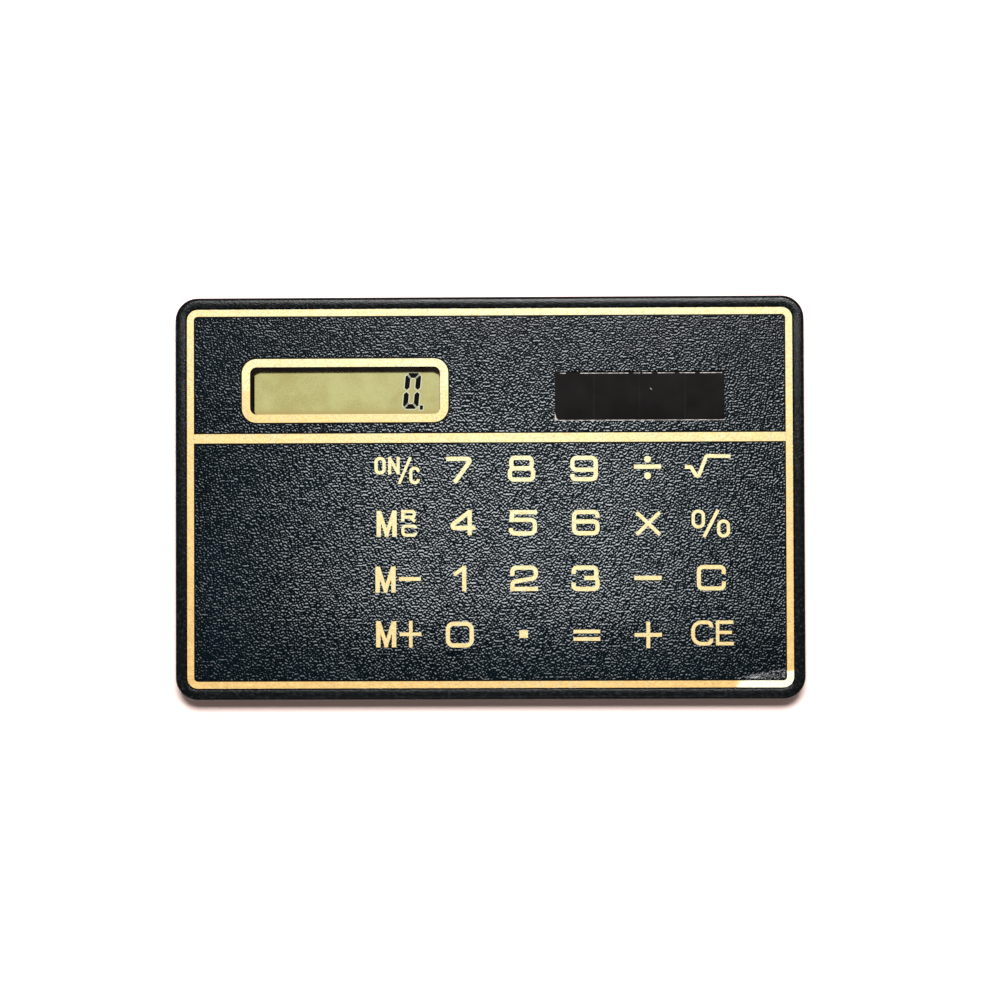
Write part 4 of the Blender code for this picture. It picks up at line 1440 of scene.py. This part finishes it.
class CALCULATOR_OT_legends(bpy.types.Operator):
    """Build the gold legends on the keys"""

    bl_idname = "calculator.legends"
    bl_label = "Legends"

    def execute(self, context):
        sizes, _ = settings()
        for name, strokes in legend_strokes(sizes.legend_stroke / MM).items():
            piece = legend(f"legend_{name}", KEY_MIDDLES[name], strokes, foil_look(), sizes)
            set_tone(piece, lambda place: 0.4)
            follow_key(piece)
        return {"FINISHED"}


class CALCULATOR_OT_display(bpy.types.Operator):
    """Finish the display and the 0. it shows"""

    bl_idname = "calculator.display"
    bl_label = "Display"

    def execute(self, context):
        sizes, colours = settings()
        repaint("lcd_polariser", polariser_film(colours))
        glass = clear_glass("cell_glass", (0.85, 0.95, 0.88))
        repaint("lcd_front_glass", glass)
        repaint("lcd_rear_glass", glass)
        repaint("lcd_reflector", plain_metal("brushed_reflector", (0.62, 0.62, 0.55), 0.4))
        repaint("lcd_ribbon", laminate("amber_ribbon", (0.34, 0.22, 0.08)))
        window = window_middle(sizes)
        half, tall = sizes.window_length / 2, sizes.window_height
        centre = Vector((window.x + 9.15 * MM, window.y - 0.04 * MM))

        def segments(name, grow, thickness, look):
            shells = digit_mesh(sizes, centre, grow, SCREEN_TOP, SCREEN_TOP + thickness)
            return add_piece(name, merged(shells), look)

        def edge_strip(name, size, place, look):
            border = outline(size, 0.05 * MM, 2, place)
            return add_piece(name, prism(border, SCREEN_TOP - 0.005 * MM, SCREEN_TOP + 0.01 * MM), look)

        halo = segments("digit_halo", 0.13 * MM, 0.004 * MM, segment_halo(colours))
        digit = segments("digit_zero", 0, 0.008 * MM, segment_ink(colours))
        amber = laminate("amber_edge", (0.27, 0.13, 0.04))
        # An amber line along the inside of the window's right edge.
        place = (window.x + half - 0.08 * MM, window.y)
        amber_line = edge_strip("display_edge", (0.2 * MM, tall - 1.4 * MM), place, amber)
        # A black strip along the window's left edge, reaching inside the opening: partly the display's black
        # mask, partly painted shade of the opening's left wall.
        place = (window.x - half + 0.08 * MM, window.y)
        mask_and_shade = edge_strip("display_mask_and_shade", (0.9 * MM, tall), place, bpy.data.materials["plate_black"])
        for piece in (halo, digit, amber_line, mask_and_shade):
            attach(piece, "case")
        return {"FINISHED"}


class CALCULATOR_OT_solar(bpy.types.Operator):
    """Finish the solar cell, its scribed lines and its wires"""

    bl_idname = "calculator.solar"
    bl_label = "Solar Cell"

    def execute(self, context):
        sizes, colours = settings()
        repaint("solar_cell", solar_glass(colours))
        cell = CELL_HIGH - CELL_LOW
        lines = grown(
            "cell_lines",
            bar_field_tree(),
            {
                "Columns": 3,
                "Rows": 1,
                "Spread X": cell.x / 2,
                "Bars": 2,
                "Bar Size": (0.04 * MM, cell.y * 0.9, 0.006 * MM),
                "Bar Step": (0.12 * MM, 0, 0),
                "First Bar": (-0.06 * MM, 0, 0),
                "Centre": (*middle("solar_cell").xy, CELL_HIGH.z),
                "Material": plain_plastic("cell_scribe", (0.003, 0.0028, 0.003), 0.12),
            },
        )
        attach(lines, "case")
        window = middle("solar_cell")
        left, low = window.x - sizes.cell_window_length / 2, window.y - sizes.cell_window_height / 2
        glint_line = low + sizes.cell_window_height - 0.24 * MM

        def strip(x, y, size, bottom, top):
            return prism(outline(size, 0.03 * MM, 2, (x + size[0] / 2, y)), bottom, top)

        def flake(x, y, corners, bottom, top):
            return prism([(x + across * MM, y + up * MM) for across, up in corners], bottom, top)

        # Painted glints: pale dashes on the cell just inside its window's top edge. The flake beside them is a
        # speck of dust.
        dashes = ((0.7, 0.8), (3.5, 6.6), (10.8, 0.9), (12.0, 1.3), (14.1, 2.3), (17.1, 2.1), (19.9, 3.0))
        glints = [
            strip(left + start * MM, glint_line, (span * MM, 0.10 * MM), CELL_HIGH.z, CELL_HIGH.z + 0.01 * MM)
            for start, span in dashes
        ]
        speck = ((1.46, 0.95), (1.66, 0.8), (1.76, 0.82), (1.5, 1.04), (1.42, 1.1))
        glints.append(flake(window.x, window.y, speck, CELL_HIGH.z, CELL_HIGH.z + 0.03 * MM))
        size = (sizes.cell_window_length, 0.10 * MM)
        frays = [strip(left, low - 0.02 * MM, size, SHEET_TOP - 0.005 * MM, SHEET_TOP + 0.006 * MM)]
        peel = ((-0.05, -0.06), (0.6, 0), (0.18, 0.3), (0.02, 1.0))
        frays.append(flake(left, low, peel, SHEET_TOP - 0.004 * MM, SHEET_TOP + 0.03 * MM))
        pale = glint_fray_and_dust()
        for name, shells, slot in (("cell_glints_and_dust", glints, "solar_glass"), ("cell_fray", frays, "leatherette")):
            piece = add_piece(name, merged(shells), pale)
            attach(piece, "case")
        repaint("solar_foam_pad", foam("grey_foam", (0.12, 0.12, 0.13)))
        repaint("lcd_foam_pad", bpy.data.materials["grey_foam"])
        repaint("solar_lead_red", plain_plastic("red_sleeve", (0.50, 0.02, 0.02), 0.4))
        repaint("solar_lead_black", plain_plastic("black_sleeve", (0.01, 0.01, 0.01), 0.4))
        return {"FINISHED"}


class CALCULATOR_OT_board(bpy.types.Operator):
    """Finish the circuit board, its parts and the contact combs under the keys"""

    bl_idname = "calculator.board"
    bl_label = "Circuit Board"

    def execute(self, context):
        _, colours = settings()
        repaint("circuit_board", laminate("brown_laminate", colours.board))
        for node, look, base, roughness in (
            ("chip_blob", "black_epoxy", (0.008, 0.008, 0.009), 0.2),
            ("smoothing_capacitor", "tan_ceramic", (0.42, 0.27, 0.14), 0.45),
            ("clock_resistor", "dark_ceramic", (0.015, 0.015, 0.016), 0.35),
            ("voltage_clamp_led", "red_lens", (0.45, 0.03, 0.02), 0.15),
        ):
            repaint(node, plain_plastic(look, base, roughness))
        combs = grown(
            "contact_combs",
            bpy.data.node_groups.get("bar_field") or bar_field_tree(),
            {
                "Columns": len(KEY_ROWS[0]),
                "Rows": len(KEY_ROWS),
                "Spread X": KEYPAD_SIZE[0] - PITCH_X,
                "Spread Y": KEYPAD_SIZE[1] - PITCH_Y,
                "Bars": 8,
                "Bar Size": (0.22 * MM, 2.0 * MM, 0.02 * MM),
                "Bar Step": (0.40 * MM, 0, 0),
                "First Bar": (-1.40 * MM, 0, 0),
                "Centre": (KEYPAD_MIDDLE.x, KEYPAD_MIDDLE.y, BOARD_TOP + 0.01 * MM),
                "Material": plain_metal("contact_carbon", (0.10, 0.10, 0.11), 0.5),
            },
        )
        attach(combs, "case")
        return {"FINISHED"}


class CALCULATOR_OT_screws(bpy.types.Operator):
    """Build the four screws in the back"""

    bl_idname = "calculator.screws"
    bl_label = "Screws"

    def execute(self, context):
        low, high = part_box("screw_front_left")
        far = middle("screw_back_right") - middle("screw_front_left")
        head_height = 0.6 * MM
        depth = 0.7 * MM
        wide, narrow = 1.3 * MM, 0.3 * MM
        centre = (middle("screw_back_right") + middle("screw_front_left")) / 2
        screws = grown(
            "case_screws",
            screw_tree(),
            {
                "Spread X": far.x,
                "Spread Y": far.y,
                "Head Radius": (high.x - low.x) / 2,
                "Head Height": head_height,
                "Length": high.z - low.z,
                "Cross": (wide, narrow, depth),
                "Cross Turned": (narrow, wide, depth),
                "Base": (centre.x, centre.y, low.z),
                "Material": plain_metal("zinc_plate", (0.62, 0.62, 0.64), 0.28),
            },
        )
        set_smooth(screws, 35)
        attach(screws, "case")
        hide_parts(*(f"screw_{corner}" for corner in SCREWS))
        return {"FINISHED"}


class CALCULATOR_OT_stage(bpy.types.Operator):
    """Set the table, the lights and the camera"""

    bl_idname = "calculator.stage"
    bl_label = "Stage"

    def execute(self, context):
        scene = context.scene
        _, colours = settings()
        bm = bmesh.new()
        bmesh.ops.create_grid(bm, x_segments=1, y_segments=1, size=3.0)
        table = add_piece("table_top", bm, Shader("table_white", colours.floor, 0.6).material)
        table.data.transform(table.matrix_world)

        world = bpy.data.worlds.new("studio")
        scene.world = world
        world.use_nodes = True
        background = world.node_tree.nodes["Background"]
        background.inputs["Color"].default_value = (1.0, 0.76, 0.72, 1)
        background.inputs["Strength"].default_value = 0.07

        self.add_light("window_light", (0.012, 0.180, 0.490), (0.20, 0.14), 5.1, (1.0, 0.99, 0.97))
        self.add_light("front_light", (0.0, -0.22, 0.47), (0.12, 0.12), 0.26, (1.0, 0.88, 0.82))

        camera = bpy.data.objects.new("camera", bpy.data.cameras.new("camera"))
        camera.data.lens = 100
        camera.data.sensor_width = 36
        view_width = 136.74 * MM
        distance = view_width / camera.data.sensor_width * camera.data.lens
        tilt, swing, roll = math.radians(1.2), math.radians(1.1), math.radians(-0.2)
        camera.location = (
            1.42 * MM + distance * math.sin(swing),
            -0.32 * MM - distance * math.sin(tilt),
            CAD_BOX[1].z + distance,
        )
        camera.rotation_euler = (tilt, swing, roll)
        camera.data.clip_start = 0.01
        camera.data.clip_end = 10
        scene.collection.objects.link(camera)
        scene.camera = camera
        scene.view_settings.view_transform = "Standard"
        return {"FINISHED"}

    @staticmethod
    def add_light(name, place, size, power, tint):
        lamp = bpy.data.lights.new(name, "AREA")
        lamp.shape = "RECTANGLE"
        lamp.size, lamp.size_y = size
        lamp.energy = power
        lamp.color = tint
        light = bpy.data.objects.new(name, lamp)
        light.location = place
        light.rotation_euler = (-Vector(place)).to_track_quat("-Z", "Y").to_euler()
        bpy.context.scene.collection.objects.link(light)


OPERATORS = (
    CALCULATOR_OT_case,
    CALCULATOR_OT_film,
    CALCULATOR_OT_keys,
    CALCULATOR_OT_foil,
    CALCULATOR_OT_legends,
    CALCULATOR_OT_display,
    CALCULATOR_OT_solar,
    CALCULATOR_OT_board,
    CALCULATOR_OT_screws,
    CALCULATOR_OT_stage,
)


class CALCULATOR_PT_sidebar(bpy.types.Panel):
    bl_idname = "CALCULATOR_PT_sidebar"
    bl_label = "Card Calculator"
    bl_space_type = "VIEW_3D"
    bl_region_type = "UI"
    bl_category = "Calculator"

    def draw(self, context):
        layout = self.layout
        for title, group in (
            ("Sizes", context.scene.calculator_sizes),
            ("Colours", context.scene.calculator_colours),
        ):
            box = layout.box()
            box.label(text=title)
            for name in group.bl_rna.properties.keys():
                if name not in ("rna_type", "name"):
                    box.prop(group, name)
        for operator in OPERATORS:
            layout.operator(operator.bl_idname)


CLASSES = (CalculatorSizes, CalculatorColours, *OPERATORS, CALCULATOR_PT_sidebar)


def register():
    for made in CLASSES:
        bpy.utils.register_class(made)
    bpy.types.Scene.calculator_sizes = PointerProperty(type=CalculatorSizes)
    bpy.types.Scene.calculator_colours = PointerProperty(type=CalculatorColours)


def unregister():
    del bpy.types.Scene.calculator_colours
    del bpy.types.Scene.calculator_sizes
    for made in reversed(CLASSES):
        bpy.utils.unregister_class(made)


def main():
    register()
    for operator in OPERATORS:
        family, action = operator.bl_idname.split(".")
        getattr(getattr(bpy.ops, family), action)()


if __name__ == "__main__":
    main()
